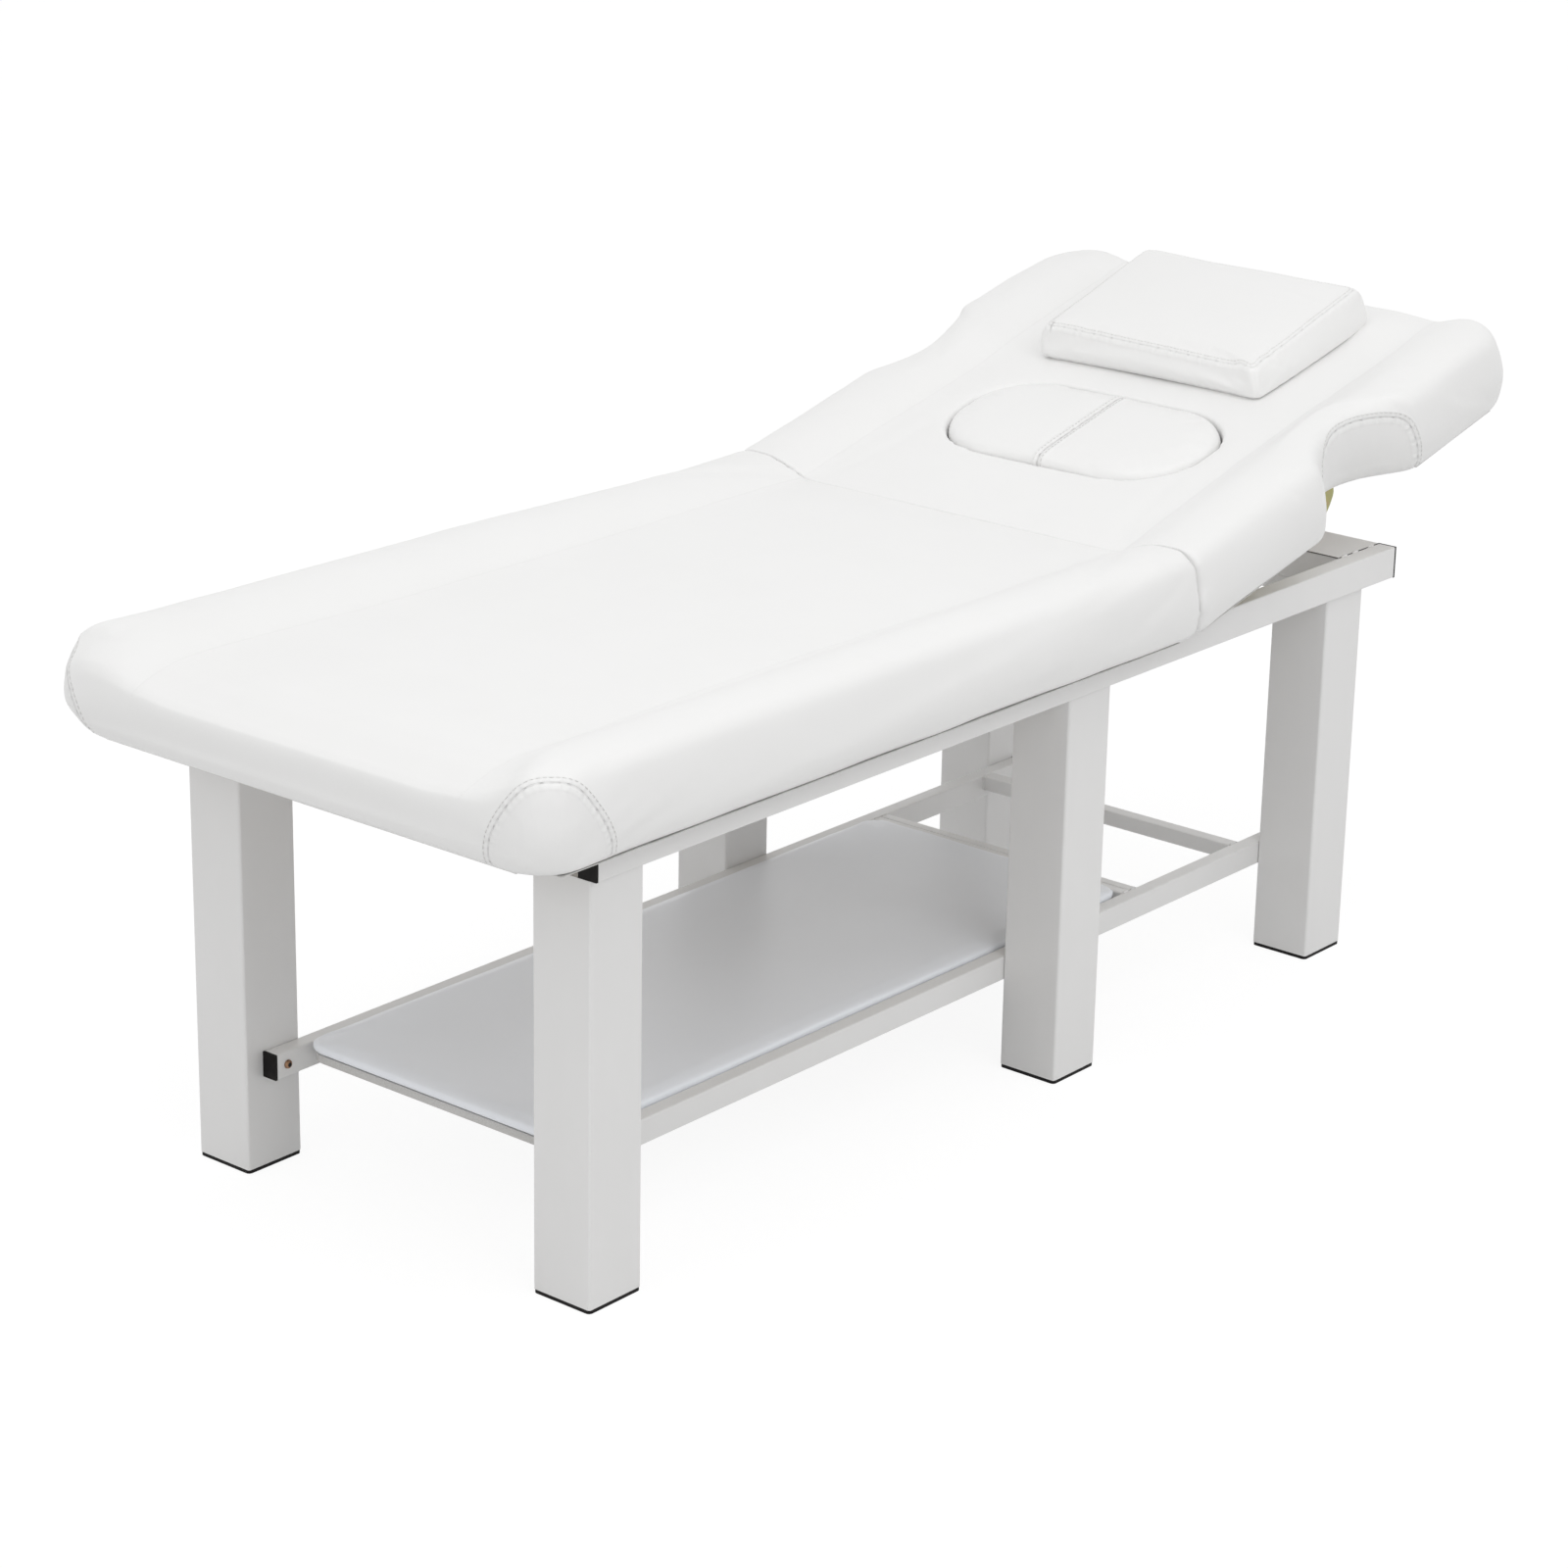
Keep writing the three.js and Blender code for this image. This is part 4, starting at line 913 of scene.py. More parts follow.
def corner_seam(side):
    """The sewn edge of a foot corner's patch. The far one sits further round its corner."""
    points = smooth_through(CORNER_SEAM, 4)
    if side < 0:
        round_it = smoothstep(np.arange(len(points)), 0.3 * len(points), 0.7 * len(points))
        points[:, 0] += 40 * round_it
        points[:, 1] -= 40 * (1 - round_it)
    points[:, 1] *= side
    return points * MM


def fold_edge(tree, on_fold, across, back):
    """The line that follows a cushion's fold face a little way back from it, over the top."""
    point = np.array(on_fold) + np.array(across) * back * MM
    lean = np.array([-across[2], 0, across[0]])
    line = [(-HALF - 2, height) for height in (4, 30, 60)]
    for y in np.linspace(-HALF + 6, HALF - 6, 60):
        fall = 12 * smoothstep(abs(y), HALF - 22, HALF)
        line.append((y, PAD_HEIGHT + SIDE_RISE * side_roll(HALF - abs(y)) - fall))
    line += [(HALF + 2, height) for height in (60, 30, 4)]
    rows = [point + lean * (height * MM) + np.array([0, y * MM, 0]) for y, height in line]
    return resample(snapped(tree, resample(rows, 6 * MM))[0], 5 * MM)


def undulate(piece, seed):
    """Very slight unevenness of the foam under the skin."""
    at, facing = places(piece), normals(piece)
    free = smoothstep(at[:, 2], 16 * MM, 40 * MM)
    bend = waves(at, 240 * MM, seed) * 0.55 + waves(at, 75 * MM, seed + 1) * 0.22
    move_to(piece, at + facing * (bend * free * MM)[:, None])


NOTCH_SEAM = [(288, 352, 4), (290, 352, 22), (296, 348, 40), (306, 338, 58), (319, 325, 76), (336, 312, 89),
              (354, 305, 95.5), (372, 302, 98), (388, 302.5, 98), (403, 305, 97.3), (417, 310, 96),
              (430, 316, 94), (443, 324.5, 92), (455, 333, 88), (464.5, 340.5, 84), (470, 346, 78),
              (472, 349, 72), (474.5, 351.5, 60), (476, 354, 49), (478, 354.7, 35), (478.5, 354.5, 21),
              (479, 352, 6)]


def notch_seam(side):
    points = smooth_through(NOTCH_SEAM, 5)
    if side > 0:
        points[:, 1] += FAR_NOTCH_FILL * notch_share(points[:, 0]) * np.clip(points[:, 2] / PAD_HEIGHT, 0, 1)
    points[:, 1] *= side
    points[:, 2] -= HINGE_DROP
    return points * MM


def hole_outline(grow):
    half, length = HOLE_SIZE[0] / 2 + grow, HOLE_SIZE[1] / 2 + grow
    points = pad_outline(-length, length, half, HOLE_CORNER + grow, 6)
    return np.column_stack([points[:, 1] + HOLE_PLACE, points[:, 0]])


def hole_nearness(at):
    """1 on the walls of the face hole, falling to 0 a little way out on the top."""
    dx = np.abs(at[:, 0] / MM - HOLE_PLACE) - (HOLE_SIZE[0] / 2 - HOLE_CORNER)
    dy = np.abs(at[:, 1] / MM) - (HOLE_SIZE[1] / 2 - HOLE_CORNER)
    reach = np.hypot(np.maximum(dx, 0), np.maximum(dy, 0)) - HOLE_CORNER
    return 1 - smoothstep(np.abs(reach), 3, 16)


def section_cushion(piece, pocket, shaped, seam_line, valley, hinge, facing, row, gather, seeds, has_hole):
    """Cuts a section's cushion at the fold and for its board, swells and sews it. It gives the
    cushion, its two rows of stitches and its surface. hinge is the hinge's place along the
    cushion, facing is 1 where the fold's face looks towards the head and -1 where it looks
    towards the foot, row is the distance of the stitches from the first seam, and the seeds are
    those of the lower edge and of the foam."""
    # the fold's plane leans by half of the rest tilt
    on_fold = Vector((hinge - facing * FOLD_GAP, 0, -HINGE_DROP)) * MM
    across = Vector((facing * math.cos(FOLD_LEAN), 0, math.sin(FOLD_LEAN)))
    cut_plane(piece, on_fold, across)
    cut_with(piece, prism("pocket", pocket, -6, BOARD_TOP + 3.5))
    if has_hole:
        cut_with(piece, prism("hole", hole_outline(0.8), -8, PAD_HEIGHT + 40))
    remeshed(piece, VOXEL)
    at = places(piece)
    reach = (np.array(on_fold) - at) @ np.array(across)
    relaxed(piece, 1 - smoothstep(np.abs(reach), 3 * MM, 9 * MM), 2)
    relaxed(piece, 0.5, 2)
    shaped(piece)
    at = places(piece)
    face = 1 - smoothstep(np.abs((np.array(on_fold) - at) @ np.array(across)), 4 * MM, 24 * MM)
    wall = hole_nearness(at) if has_hole else 0
    patch = seam_field(at, normals(piece), [seam_line(side) for side in (-1, 1)])[0]
    seam = 0.8 * np.exp(-(patch / (9 * MM)) ** 2)
    inside = (at[:, 2] < (BOARD_TOP + 9) * MM) & (np.abs(at[:, 1]) < (HALF - BOARD_INSET + 4) * MM)
    held = held_from(at, 0, face, wall, seam, inside.astype(float))
    swollen(piece, held, SKIN, SECTION_SWELL, SECTION_SHARE)
    move_to(piece, lower_edge_drape(places(piece), seeds[0]))
    squared_fold(piece, on_fold, across)
    tree = tree_of(piece)
    seams = [settled(tree, resample(seam_line(side), 4 * MM)) for side in (-1, 1)]
    valleys = [snapped(tree, valley_line(valley, side))[0] for side in (-1, 1)]
    lines = [(seams[0], SEAM_DEPTH, row), (seams[1], SEAM_DEPTH, -row)]
    # the fold line and the side rolls' creases get a shallow dip and painted shade along them
    lines += [(fold_edge(tree, on_fold, across, -4), FOLD_DEPTH, NO_ROW)]
    lines += [(line, CREASE_DEPTH, NO_ROW) for line in valleys]
    sewn(piece, lines, gather)
    undulate(piece, seeds[1])
    tree = tree_of(piece)
    return piece, [offset_row(tree, seams[0], row), offset_row(tree, seams[1], -row)], tree


def flat_cushion():
    end = HINGE_PLACE + HALF + ROLL_WIDTH
    outline = pad_outline(FOOT_END, end, HALF, FOOT_CORNER, 7)
    piece = ring_form("flat_section_cushion", outline, (FOOT_END + HALF, end - HALF), PAD_PROFILE, side_roll)
    pocket = board_outline(FOOT_END, HINGE_PLACE + HALF, FOOT_CORNER, 1.5)
    pocket[:, 0] = np.minimum(pocket[:, 0], HINGE_PLACE - BOARD_CLEARANCE + 2.5)
    piece, rows, tree = section_cushion(piece, pocket, shaped_foot, corner_seam, FLAT_VALLEY,
                                        hinge=HINGE_PLACE, facing=1, row=6, gather=0.28, seeds=(3, 11),
                                        has_hole=False)
    return piece, stitch_rows("corner_patch_stitching", tree, rows)


def head_cushion():
    start = -HALF - ROLL_WIDTH
    outline = pad_outline(start, HEAD_END, HALF, HEAD_CORNER, 7)
    piece = ring_form("head_section_cushion", outline, (start + HALF, HEAD_END - HALF), PAD_PROFILE,
                      side_roll, notch_depth)
    pocket = board_outline(start, HEAD_END, HEAD_CORNER, 1.5, True)
    pocket[:, 0] = np.maximum(pocket[:, 0], BOARD_CLEARANCE - 2.5)
    piece, rows, tree = section_cushion(piece, pocket, shaped_head, notch_seam, HEAD_VALLEY, hinge=0,
                                        facing=-1, row=-5.5, gather=0.2, seeds=(8, 21), has_hole=True)
    return piece, stitch_rows("arm_notch_stitching", tree, rows)


# Plug, pillow and shelf pad

PLUG_TOP = 94
PLUG_GAP = 1.1
QUARTER_TURN = Matrix.Rotation(math.pi / 2, 4, "Z")


def loose_pad(name, outline, ends, half, profile, base, crown, voxel, rounds, world=Matrix()):
    """A pad on a flat base between two ends. Its profile's rows hold inset and height above the
    base, and it closes at its crown."""
    rows = smooth_through([(inset, height, 0) for inset, height in profile], 4)
    rows[:, 1] += base
    rows = np.vstack([[half, base, 0], rows, [half, base + crown, 0]])
    piece = ring_form(name, outline, (ends[0] + half, ends[1] - half), rows)
    piece.data.transform(world)
    remeshed(piece, voxel)
    relaxed(piece, 0.5, rounds)
    return piece


def face_plug():
    half = HOLE_SIZE[0] / 2 - PLUG_GAP
    length = HOLE_SIZE[1] - 2 * PLUG_GAP
    base = BOARD_TOP + 0.6
    height = PLUG_TOP - base
    profile = [(5, 0), (1.5, 2), (0, 8), (0, height * 0.6), (0.6, height - 15), (3.5, height - 7.5),
               (9.5, height - 2.6), (20, height - 0.6), (40, height)]
    outline = pad_outline(-length / 2, length / 2, half, HOLE_CORNER - PLUG_GAP, 6)
    piece = loose_pad("face_plug_pad", outline, (-length / 2, length / 2), half, profile, base, height,
                      4.5, 2, Matrix.Translation((HOLE_PLACE * MM, 0, 0)) @ QUARTER_TURN)
    at = places(piece)
    middle = 0.9 * np.exp(-(at[:, 1] / (9 * MM)) ** 2)
    wall = 1 - smoothstep(at[:, 2], (PLUG_TOP - 22) * MM, (PLUG_TOP - 8) * MM)
    held = held_from(at, base, middle, wall * 0.85)
    swollen(piece, held, 1.2, 3.5)
    tree = tree_of(piece)
    line = [(HOLE_PLACE - half - 3, 0, 20), (HOLE_PLACE - half - 3, 0, 60), (HOLE_PLACE - half + 2, 0, 84)]
    line += [(x, 0, PLUG_TOP + 2) for x in np.linspace(HOLE_PLACE - half + 14, HOLE_PLACE + half - 14, 12)]
    line += [(HOLE_PLACE + half - 2, 0, 84), (HOLE_PLACE + half + 3, 0, 60), (HOLE_PLACE + half + 3, 0, 20)]
    seam = snapped(tree, resample(np.array(line) * MM, 4 * MM))[0]
    sewn(piece, [(seam, 0.9, 5.5)], 0.25)
    tree = tree_of(piece)
    rows = [offset_row(tree, seam, side * 5.5) for side in (-1, 1)]
    return piece, stitch_rows("face_plug_stitching", tree, rows)


PILLOW_PLACE = 541
PILLOW_SIZE = (256, 344)
PILLOW_HEIGHT = 54
PILLOW_CROWN = 6
PILLOW_ASIDE = 6


def pillow_pad():
    base = PAD_HEIGHT + 0.5
    half = PILLOW_SIZE[0] / 2 - 0.6
    length = PILLOW_SIZE[1] - 1.2
    top = PILLOW_HEIGHT
    profile = [(13, 0), (8, 1.2), (3.6, 4.2), (1, 9.5), (0, 17), (0.8, top * 0.5), (3.8, top - 10),
               (6.2, top - 3.5), (9.5, top - 0.2), (15, top + 1.6), (26, top + 3.3), (52, top + 5.1),
               (90, top + PILLOW_CROWN - 0.6)]
    outline = pad_outline(-length / 2, length / 2, half, 13, 6)
    # corners a little pointed and sides slightly drawn in between them
    for axis, other, reach in ((1, 0, length / 2), (0, 1, half)):
        edge = np.abs(np.abs(outline[:, axis]) - (half if axis == 1 else length / 2)) < 0.5
        share = np.clip(np.abs(outline[:, other]) / reach, 0, 1)
        pull = (1 - share ** 2) * 2.6
        outline[:, axis] -= np.where(edge, np.sign(outline[:, axis]) * pull, 0)
    piece = loose_pad("pillow_pad", outline, (-length / 2, length / 2), half, profile, base,
                      top + PILLOW_CROWN, 4.0, 1,
                      Matrix.Translation((PILLOW_PLACE * MM, PILLOW_ASIDE * MM, 0)) @ QUARTER_TURN)
    slump(piece, half, length / 2, base)
    at = places(piece)
    paths = [rim_path(half - 8.5, length / 2 - 8.5, base + top - 0.6),
             rim_path(half - 5, length / 2 - 5, base + 2.5)]
    nearness = np.abs(seam_field(at, normals(piece), paths)[0])
    held = held_from(at, base - 1, 0.85 * np.exp(-(nearness / (6 * MM)) ** 2))
    swollen(piece, held, 1.4, 4.0)
    tree = tree_of(piece)
    seams = [resample(snapped(tree, path)[0], 4 * MM) for path in paths]
    sewn(piece, [(seams[0], 0.42, 4.5), (seams[1], 0.4, NO_ROW)], 0.5)
    wrinkle_corners(piece, half, length / 2, base)
    tree = tree_of(piece)
    rows = [offset_row(tree, seams[0], 4.5)]
    return piece, stitch_rows("pillow_stitching", tree, rows, 3.6, 1.5, 0.34)


def slump(piece, half_x, half_y, base):
    """The pillow's filling has slid to its head side, and its near side bulges a little."""
    x, y, z = (places(piece) / MM).T
    along = np.clip((x - PILLOW_PLACE + half_x) / (2 * half_x), 0, 1)
    across = np.clip((y - PILLOW_ASIDE + half_y) / (2 * half_y), 0, 1)
    z = base + (z - base) * ((0.78 + 0.11 * across) * (1 - along) + (1.04 + 0.08 * across) * along)
    y -= (6 * along + 5 * (1 - (2 * along - 1) ** 2)) * (1 - smoothstep(across, 0, 0.3))
    x += 3.5 * (1 - (2 * across - 1) ** 2) * (1 - smoothstep(along, 0, 0.3))
    move_to(piece, np.column_stack([x, y, z]) * MM)


def rim_path(half_x, half_y, height):
    points = pad_outline(-half_y, half_y, half_x, 12, 6)
    ring = np.column_stack([points[:, 1] + PILLOW_PLACE, points[:, 0] + PILLOW_ASIDE,
                            np.full(len(points), height)])
    return np.vstack([ring, ring[:1]]) * MM


def wrinkle_corners(piece, half_x, half_y, base):
    """Short folds that run in from the pillow's corners."""
    at, facing = places(piece), normals(piece)
    dx = half_x - np.abs(at[:, 0] / MM - PILLOW_PLACE)
    aside = at[:, 1] / MM - PILLOW_ASIDE
    dy = half_y - np.abs(aside)
    reach = np.hypot(dx, dy)
    angle = np.arctan2(dy, dx)
    fold = np.sin(angle * 9 + np.sign(aside) * 1.3 + np.sign(at[:, 0] / MM - PILLOW_PLACE) * 0.7)
    size = np.exp(-((reach - 16) / 13) ** 2) * 0.5
    size += np.exp(-(np.minimum(dx, dy) / 5) ** 2) * np.exp(-(np.maximum(dx, dy) / 26) ** 2) * 0.35
    up = smoothstep(at[:, 2] / MM, base + 3, base + 12)
    at += facing * (fold * size * up * MM)[:, None]
    sag = waves(at, 90 * MM, 41) * 0.45 * up
    move_to(piece, at + facing * (sag * MM)[:, None])


def shelf_pad():
    low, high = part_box("shelf_pad")
    start, end = (low.x - FOOT_FACE) / MM + 0.6, (high.x - FOOT_FACE) / MM - 0.6
    half = high.y / MM - 0.8
    base = (low.z - PAD_BASE) / MM + 0.2
    profile = [(2, 0), (0.6, 1.0), (0.3, 3.4), (-0.2, 5.4), (-1.3, 6.7), (-1.5, 8.2), (0.6, 10.3),
               (4.5, 12), (11, 13.2), (22, 14.0), (60, 14.4)]
    outline = pad_outline(start, end, half, 22, 6)
    piece = loose_pad("shelf_pad_cover", outline, (start, end), half, profile, base, 14.6, 3.8, 2)
    at = places(piece)
    nearness = 1 - smoothstep(at[:, 2], (base + 2) * MM, (base + 6) * MM)
    puffed(piece, nearness, 3.0, 1.4)
    subdivided(piece)
    at, facing = places(piece), normals(piece)
    up = smoothstep(at[:, 2], (base + 6) * MM, (base + 10) * MM)
    bend = waves(at[:, :2], 210 * MM, 51) * 0.5 + waves(at[:, :2], 60 * MM, 52) * 0.12
    move_to(piece, at + facing * (bend * up * MM)[:, None])
    sewn(piece, [])
    return piece


flat, flat_stitches = flat_cushion()
head, head_stitches = head_cushion()
plug, plug_stitches = face_plug()
pillow, pillow_stitches = pillow_pad()
shelf = shelf_pad()

finished(flat, WHITE_VINYL, STAND)
finished(head, WHITE_VINYL, SECTION_PAD)
finished(plug, WHITE_VINYL, SECTION_PAD)
finished(pillow, WHITE_VINYL, SECTION_PAD)
finished(shelf, SHELF_VINYL, STAND)
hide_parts("bed_cushion", "bed_cushion_fold")
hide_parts("head_cushion", "head_cushion_fold")
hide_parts("face_plug")
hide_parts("pillow")
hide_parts("shelf_pad")

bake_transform(flat)
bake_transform(head)
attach(plug, "plug")
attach(pillow, "loose_pillow")
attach(shelf, "stand")
for stitches, body, world in ((flat_stitches, "stand", STAND), (head_stitches, "head_section", SECTION_PAD),
                              (plug_stitches, "plug", SECTION_PAD),
                              (pillow_stitches, "loose_pillow", SECTION_PAD)):
    stitches.data.transform(world)
    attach(stitches, body)


# Welds, screws, staples and the hem of the covers

def floor_place(x, y, z):
    """A place of the stand: along from the foot face, across, and up from the floor."""
    return Vector((FOOT_FACE + x * MM, y * MM, z * MM))


def section_place(x, y, rise):
    """A place of the head section: along from the hinge, across, and up from the hinge."""
    return SECTION @ Vector((x * MM, y * MM, rise * MM))


def merged(name, meshes, material, body, smooth=True):
    """One piece made of several closed bodies, each a list of points and a list of faces."""
    vertices, faces = [], []
    for points, polygons in meshes:
        base = len(vertices)
        vertices += points
        faces += [tuple(base + index for index in polygon) for polygon in polygons]
    made = link_mesh(name, vertices, faces)
    with edited(made) as work:
        bmesh.ops.recalc_face_normals(work, faces=work.faces)
    shade(made, smooth)
    made.data.materials.append(material)
    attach(made, body)


def swept(path, radii, sides=10, flatten=1.0, up=Vector((0, 0, 1))):
    """A closed round bar along a path, with a radius at each point."""
    vertices = []
    count = len(path)
    for i, centre in enumerate(path):
        along = (path[min(i + 1, count - 1)] - path[max(i - 1, 0)]).normalized()
        across = along.cross(up)
        if across.length < 1e-4:
            across = along.cross(Vector((1, 0, 0)))
        across.normalize()
        rise = across.cross(along).normalized()
        for s in range(sides):
            turn = 2 * math.pi * s / sides
            vertices.append(centre + (across * math.cos(turn) + rise * math.sin(turn) * flatten) * radii[i])
    return vertices, ring_faces(count, sides)


def weld_bead(start, end, radius=1.9, ripple=2.6):
    """A run of weld: overlapping ripples that taper at both ends."""
    length = (end - start).length / MM
    count = max(8, int(length / ripple * 4))
    share = np.linspace(0, 1, count + 1)
    run = share * length
    ends = np.minimum(1, np.minimum(run, length - run) / 3 + 0.35)
    uneven = 0.22 * np.abs(np.sin(run * math.pi / ripple)) + 0.12 * np.sin(run * 0.31 + start.x * 90)
    radii = (radius + uneven) * ends
    drift = 0.18 * np.sin(run * 0.45 + start.y * 50)
    path = [start.lerp(end, float(s)) + Vector((0, 0, float(d) * MM)) for s, d in zip(share, drift)]
    return swept(path, radii * MM)


def sided_boxes(prefix):
    """The box of each node whose name starts like that, and its side: 1 far and -1 near."""
    for name in nodes:
        if name.startswith(prefix):
            yield (*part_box(name), 1 if name.endswith("far") else -1)


def frame_welds():
    # ends of each run: along, across and up at one end, then along and up at the other
    runs = []
    for low, high, side in sided_boxes("leg_"):
        start, end = (low.x - FOOT_FACE) / MM + 3, (high.x - FOOT_FACE) / MM - 3
        runs += [(start, side * across, up, end, up) for across, up in ((297.4, 479.9), (279.8, 480.3))]
    for side in (-1, 1):
        runs += [(x, side * 279.6, 482, x, 518.5) for x in (12, 37, 470, 495, 955.3, 980.3, 1393)]
        runs += [(x, side * 196.4, low, x, top)
                 for x, low, top in ((109, 112, 125), (124, 112, 125), (1075.5, 112, 140),
                                     (1105.8, 112, 140), (1309, 122, 140), (1329, 122, 140))]
        runs += [(x, side * 196.6, 141, x + 10, 141) for x in (1078, 1093.5, 1311.5)]
        runs += [(x, side * 279.9, 520.3, x + 13, 520.3) for x in (1399, 1424, 1460)]
    beads = []
    for x, y, z, end_x, end_z in runs:
        start, end = floor_place(x, y, z), floor_place(end_x, y, end_z)
        beads.append(weld_bead(start, end, 1.6 if (end - start).length < 20 * MM else 1.9))
    merged("frame_welds", beads, PAINT, "stand")


def joint_gap_shadows():
    """Black strips in the open joints between the head beam and the rails, broken by the tack welds: painted
    shadow of the joints.
    """
    runs = []
    for side in (-1, 1):
        for start, end in ((1394, 1398), (1413, 1423), (1438, 1459), (1474, 1486)):
            runs.append([floor_place(x, side * 279.95, 520.15) for x in np.linspace(start, end, 5)])
        runs.append([floor_place(1392.6, side * y, 519.9) for y in np.linspace(279, 225, 8)])
    # painted shadow: black bars stand where there is only shade in the narrow gaps
    bars = [swept(run, [0.75 * MM] * len(run), 8, 0.6) for run in runs]
    merged("beam_joint_painted_shadow", bars, BLACK_PLASTIC_AND_SHADE, "stand")


def plate(outline, place, low, high):
    """A thin plate: its outline is in one plane and place gives a corner's place at a depth."""
    vertices = [place(a, b, depth) for depth in (low, high) for a, b in outline]
    return vertices, ring_faces(2, len(outline))


def pressed_flanges():
    """The beam's turned-down lip under its foot edge, and the lips of the prop's brackets."""
    lip = [(1393.4, 480.4), (1393.4, 463.1), (1394.2, 461.4), (1395.9, 460.7), (1400.5, 460.7),
           (1400.5, 462.1), (1396.2, 462.1), (1395.1, 462.8), (1394.9, 463.9), (1394.9, 480.4)]
    beam = plate(lip, lambda x, z, y: floor_place(x, y, z), -215, 215)
    merged("beam_foot_lip", [beam], PAINT, "stand", False)
    edge = [(379, 4.4), (405.8, 4.4), (405.4, -3), (403, -8), (395.4, -16.5), (387, -23.5), (382.5, -26.3),
            (378, -27.6), (374, -27.2), (371, -24), (370, -18)]
    ears = [plate(edge, lambda x, rise, y: section_place(x, y, rise), side * 270.6, side * 274.2)
            for side in (-1, 1)]
    merged("bracket_edge_lips", ears, YELLOW_ZINC, "head_section", False)


def dome_head(centre, facing, radius, height):
    """A pan head screw with a cross recess."""
    facing = facing.normalized()
    across = facing.orthogonal().normalized()
    other = facing.cross(across)
    vertices = []
    rings, sides = 9, 28
    for ring in range(rings):
        share = ring / (rings - 1)
        reach = math.sin(share * math.pi / 2) if share < 1 else 1
        lift = height * (0.35 + 0.65 * math.cos(share * math.pi / 2) ** 0.6) if ring < rings - 1 else 0
        for s in range(sides):
            turn = 2 * math.pi * s / sides
            u, v = reach * math.cos(turn), reach * math.sin(turn)
            sunk = reach < 0.66 and min(abs(u), abs(v)) < 0.13
            up = lift - (0.75 * height if sunk else 0)
            vertices.append(centre + (across * u + other * v) * (radius * MM) + facing * (up * MM))
    return vertices, ring_faces(rings, sides)


# radius and height of each ring of a black disc, a little proud of the bolt head, that stands for the shade in its
# hex recess
HEX_SOCKET_SHADE = [(2.9, -0.4), (2.9, 0.1), (2.5, 0.16), (2.3, 0.05)]


def fixing_screws():
    down = Vector((0, 0, -1))
    heads = [dome_head(floor_place(x, y, z), down, radius, radius / 2)
             for x, z, spread, radius in ((24.5, 480.3, 190, 4.2), (482.5, 480.3, 190, 4.2),
                                          (116.5, 111, 150, 3.6), (1083, 111, 150, 3.6))
             for y in (-spread, 0, spread)]
    merged("stand_board_screws", heads, ZINC, "stand")
    socket_shades = []
    # painted shade: a black hexagonal disc on each lower bolt's head stands for the shade in its socket
    for low, high, side in sided_boxes("lower_bolt_"):
        centre = Vector(((low.x + high.x) / 2, low.y if side > 0 else high.y, (low.z + high.z) / 2))
        vertices = []
        for radius, lift in HEX_SOCKET_SHADE:
            for s in range(6):
                turn = math.pi / 3 * s
                corner = Vector((radius * math.cos(turn), -side * lift, radius * math.sin(turn)))
                vertices.append(centre + corner * MM)
        socket_shades.append((vertices, ring_faces(len(HEX_SOCKET_SHADE), 6)))
    merged("bolt_socket_painted_shade", socket_shades, BLACK_PLASTIC_AND_SHADE, "stand")


def hem_strip(start, end, inner, outer, place, across, seed):
    """The cover's turned-in hem under a board: a thin strip with a slightly uneven edge."""
    count = max(6, int(abs(end - start) / 9))
    run = np.linspace(start, end, count + 1)
    waver = waves(run[:, None], 46, seed) * 1.6
    vertices = []
    for at, shift in zip(run, waver):
        for reach, rise in ((outer, -0.1), (outer, -1.1), (inner + shift, -1.3), (inner + shift, -0.1)):
            vertices.append(place(at, reach, rise) if across else place(reach, at, rise))
    return vertices, ring_faces(count + 1, 4)


def staple(centre, along, down):
    """A wire staple: its crown stands a little proud of the hem and both ends turn in."""
    half = 5.2
    path = [centre + along * (s * MM) + down * (r * MM)
            for s, r in ((-half, 0.4), (-half, 1.5), (-half + 0.7, 1.95), (0, 2.05), (half - 0.7, 1.95),
                         (half, 1.5), (half, 0.4))]
    return swept(path, [0.5 * MM] * len(path), 8, 0.8, along.cross(down))


def covers_undersides():
    """The covers' hems, stapled to the undersides of both boards, clear of the rails."""
    def stand_place(x, y, rise):
        return floor_place(x, y, PAD_BASE / MM + rise)

    def head_place(x, y, rise):
        return section_place(x, y, HINGE_DROP + rise)

    for body, place, sides, ends, name in (
            ("stand", stand_place, [(-88, 962)], [(-66, -110)], "flat_section"),
            ("head_section", head_place, [(22, 262), (492, 668)], [(664, 708)], "head_section")):
        strips, wires = [], []
        down = (place(0, 0, -1) - place(0, 0, 0)).normalized()
        along = (place(1, 0, 0) - place(0, 0, 0)).normalized()
        for side in (-1, 1):
            for number, (start, end) in enumerate(sides):
                seed = 61 + number + side
                strips.append(hem_strip(start, end, side * 307.5, side * 340, place, True, seed))
                for x in np.arange(start + 14, end - 8, 38):
                    lean = Vector((0, 0.5 * math.sin(x * 1.7 + side), 0))
                    wires.append(staple(place(x, side * 315, 0), (along + lean).normalized(), down))
        for inner, outer in ends:
            strips.append(hem_strip(-300, 300, inner, outer, place, False, 71))
            for y in np.arange(-290, 291, 41):
                lean = 0.4 * math.sin(y * 2.3)
                wires.append(staple(place(inner + (outer - inner) * 0.35, y, 0),
                                    (Vector((0, 1, 0)) + along * lean).normalized(), down))
        merged(name + "_cover_hem", strips, HEM_VINYL, body, False)
        merged(name + "_staples", wires, STAPLE_STEEL, body)


frame_welds()
joint_gap_shadows()
pressed_flanges()
fixing_screws()
covers_undersides()


# Materials of the frame's own nodes

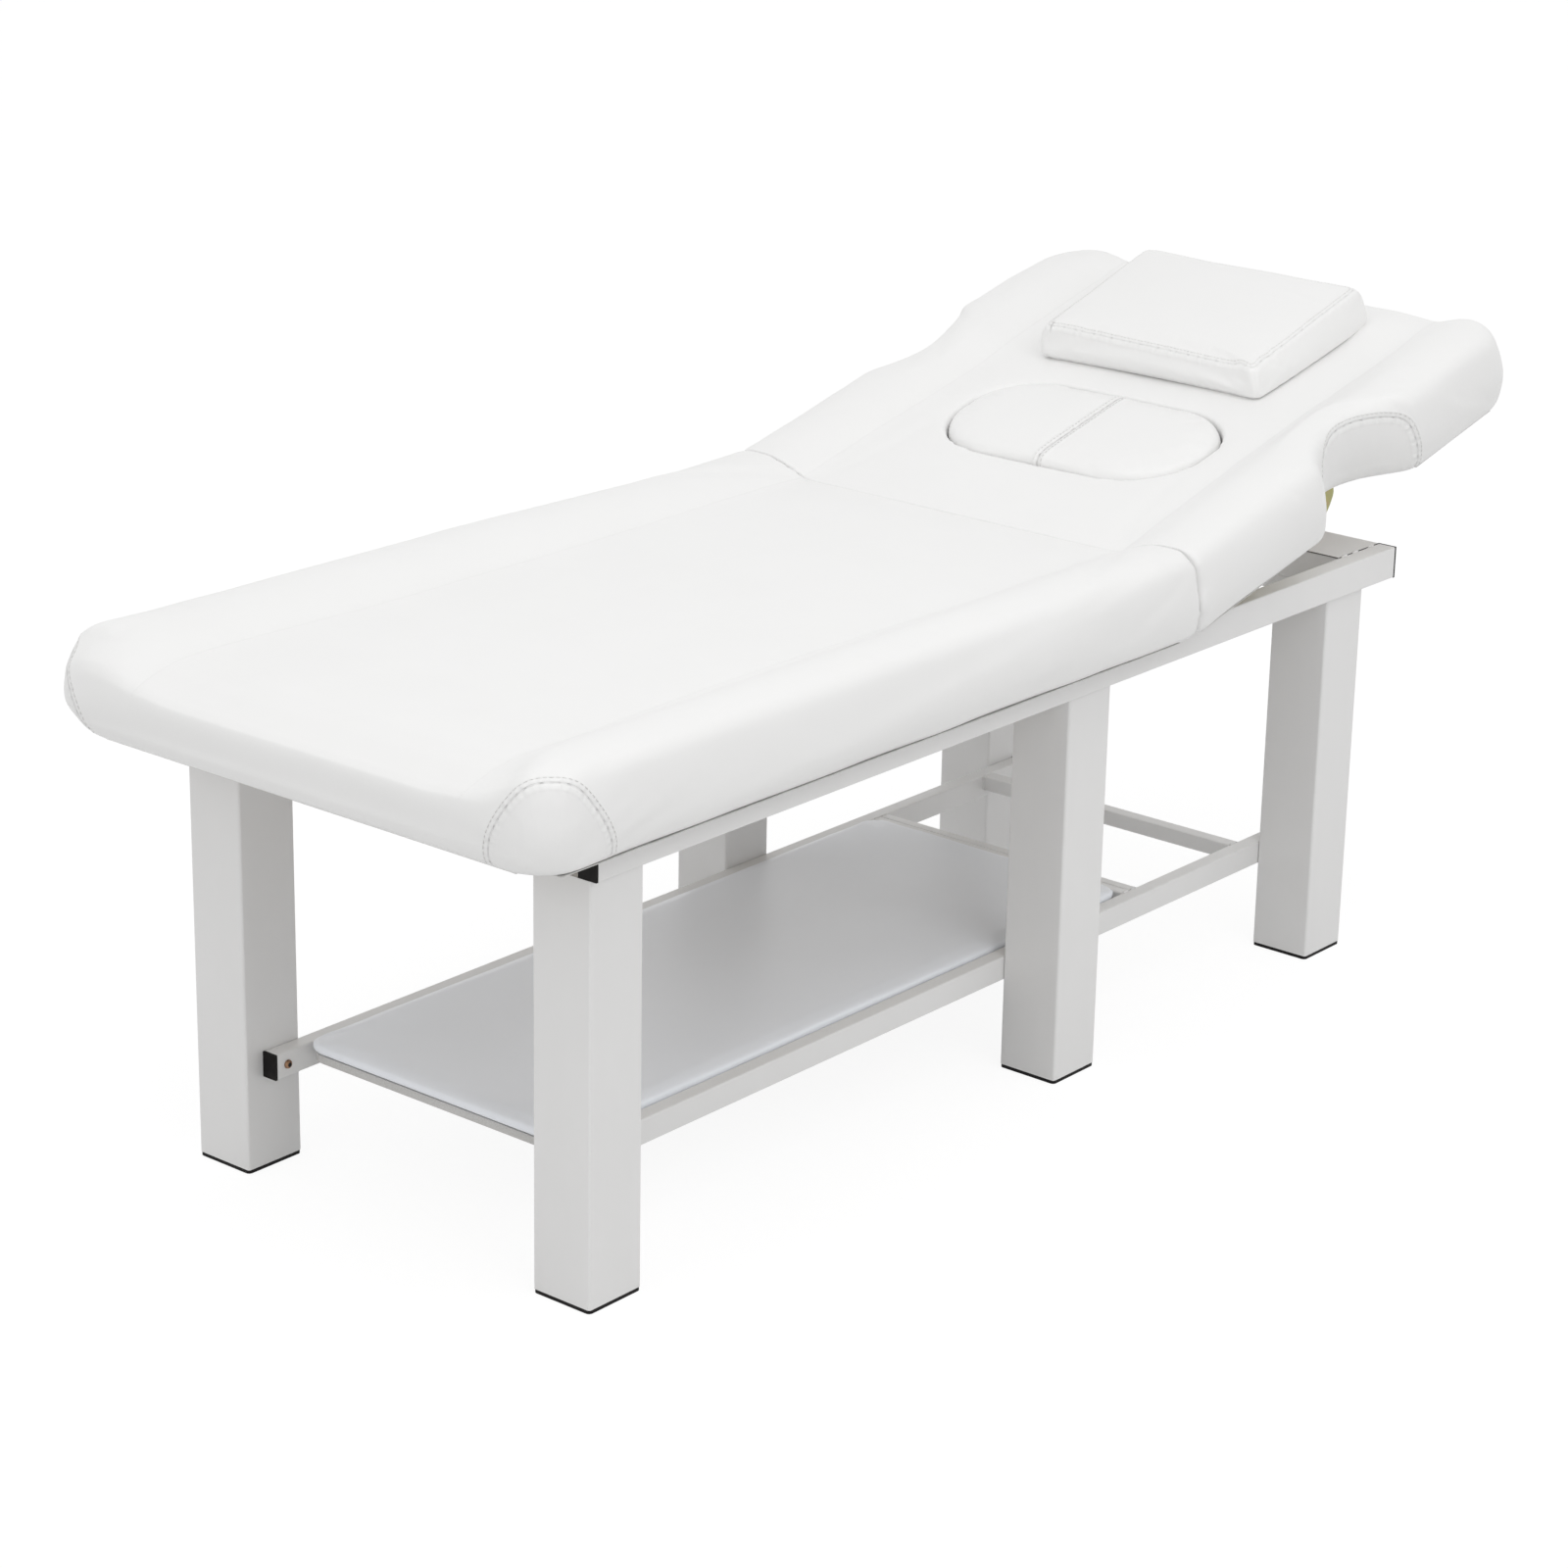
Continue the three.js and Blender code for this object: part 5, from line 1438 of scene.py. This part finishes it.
for name, node in nodes.items():
    material = SLOT_MATERIALS[SLOT_OF[name]]
    for used in node.material_slots:
        used.material = material
    if SLOT_OF[name] in ("painted_steel", "black_plastic", "yellow_zinc", "zinc_steel"):
        soften = node.modifiers.new("edges", "BEVEL")
        soften.width = 0.5 * MM
        soften.segments = 2
        soften.limit_method = "ANGLE"
        soften.angle_limit = math.radians(50)


# Floor, light and camera

def stage_floor():
    size = 40
    corners = [(-size, -size, 0), (size, -size, 0), (size, size, 0), (-size, size, 0)]
    floor = link_mesh("floor", corners, [(0, 1, 2, 3)])
    shader = Shader("studio_floor")
    white = shader.made("ShaderNodeEmission", 0, {"Strength": 1.12, "Color": rgb(1, 1, 1)})
    for name, value in (("Base Color", rgb(0.76, 0.76, 0.76)), ("Roughness", 0.9),
                        ("Specular IOR Level", 0.0)):
        shader.feed(shader.surface.inputs[name], value)
    matt = Value(shader, shader.surface.outputs[0])
    mixed = shader.made("ShaderNodeMixShader", 0, {0: shader.seen_directly() * 0.8, 1: matt, 2: white})
    shader.feed(shader.tree.nodes["Material Output"].inputs["Surface"], mixed)
    floor.data.materials.append(shader.owner)


def lamp(name, place, target, size, power):
    data = bpy.data.lights.new(name, "AREA")
    data.shape = "RECTANGLE"
    data.size, data.size_y = size
    data.energy = power
    made = bpy.data.objects.new(name, data)
    made.location = place
    made.rotation_euler = (Vector(target) - Vector(place)).to_track_quat("-Z", "Y").to_euler()
    bpy.context.scene.collection.objects.link(made)


def light_studio():
    shader = Shader("studio", bpy.data.worlds.new("studio"))
    inputs = {"Value": shader.seen_directly(), "To Min": 0.712, "To Max": 1.0}
    shader.feed(shader.surface.inputs["Color"], rgb(1, 1, 1))
    shader.feed(shader.surface.inputs["Strength"], shader.made("ShaderNodeMapRange", 0, inputs))
    bpy.context.scene.world = shader.owner
    lamp("overhead_softbox", (-0.4, -0.6, 3.4), (0, 0, 0.5), (3.4, 2.6), 20)
    lamp("front_softbox", (-1.0, -3.5, 3.2), (0, 0, 0.4), (3.0, 1.6), 24)
    lamp("foot_softbox", (-4.6, 0.6, 2.3), (0, 0, 0.7), (2.0, 1.4), 13)


def photo_camera():
    """The camera that was fitted to the photograph's leg corners."""
    azimuth, elevation, roll = (math.radians(a) for a in (-50.286, 19.312, -1.086))
    back = Vector((math.sin(azimuth) * math.cos(elevation), -math.cos(azimuth) * math.cos(elevation),
                   math.sin(elevation)))
    right = (-back).cross(Vector((0, 0, 1))).normalized()
    down = (-back).cross(right)
    turned_right = right * math.cos(roll) + down * math.sin(roll)
    turned_down = down * math.cos(roll) - right * math.sin(roll)
    data = bpy.data.cameras.new("photo_camera")
    data.sensor_fit = "HORIZONTAL"
    data.sensor_width = 36
    data.lens = 93.471
    data.clip_end = 100
    camera = bpy.data.objects.new("photo_camera", data)
    bpy.context.scene.collection.objects.link(camera)
    place = Vector((-3.5786, -2.8721, 1.9191))
    axes = Matrix((turned_right, -turned_down, back)).transposed().to_4x4()
    camera.matrix_world = Matrix.Translation(place) @ axes
    bpy.context.scene.camera = camera


stage_floor()
light_studio()
photo_camera()
bpy.context.scene.view_settings.view_transform = "Standard"
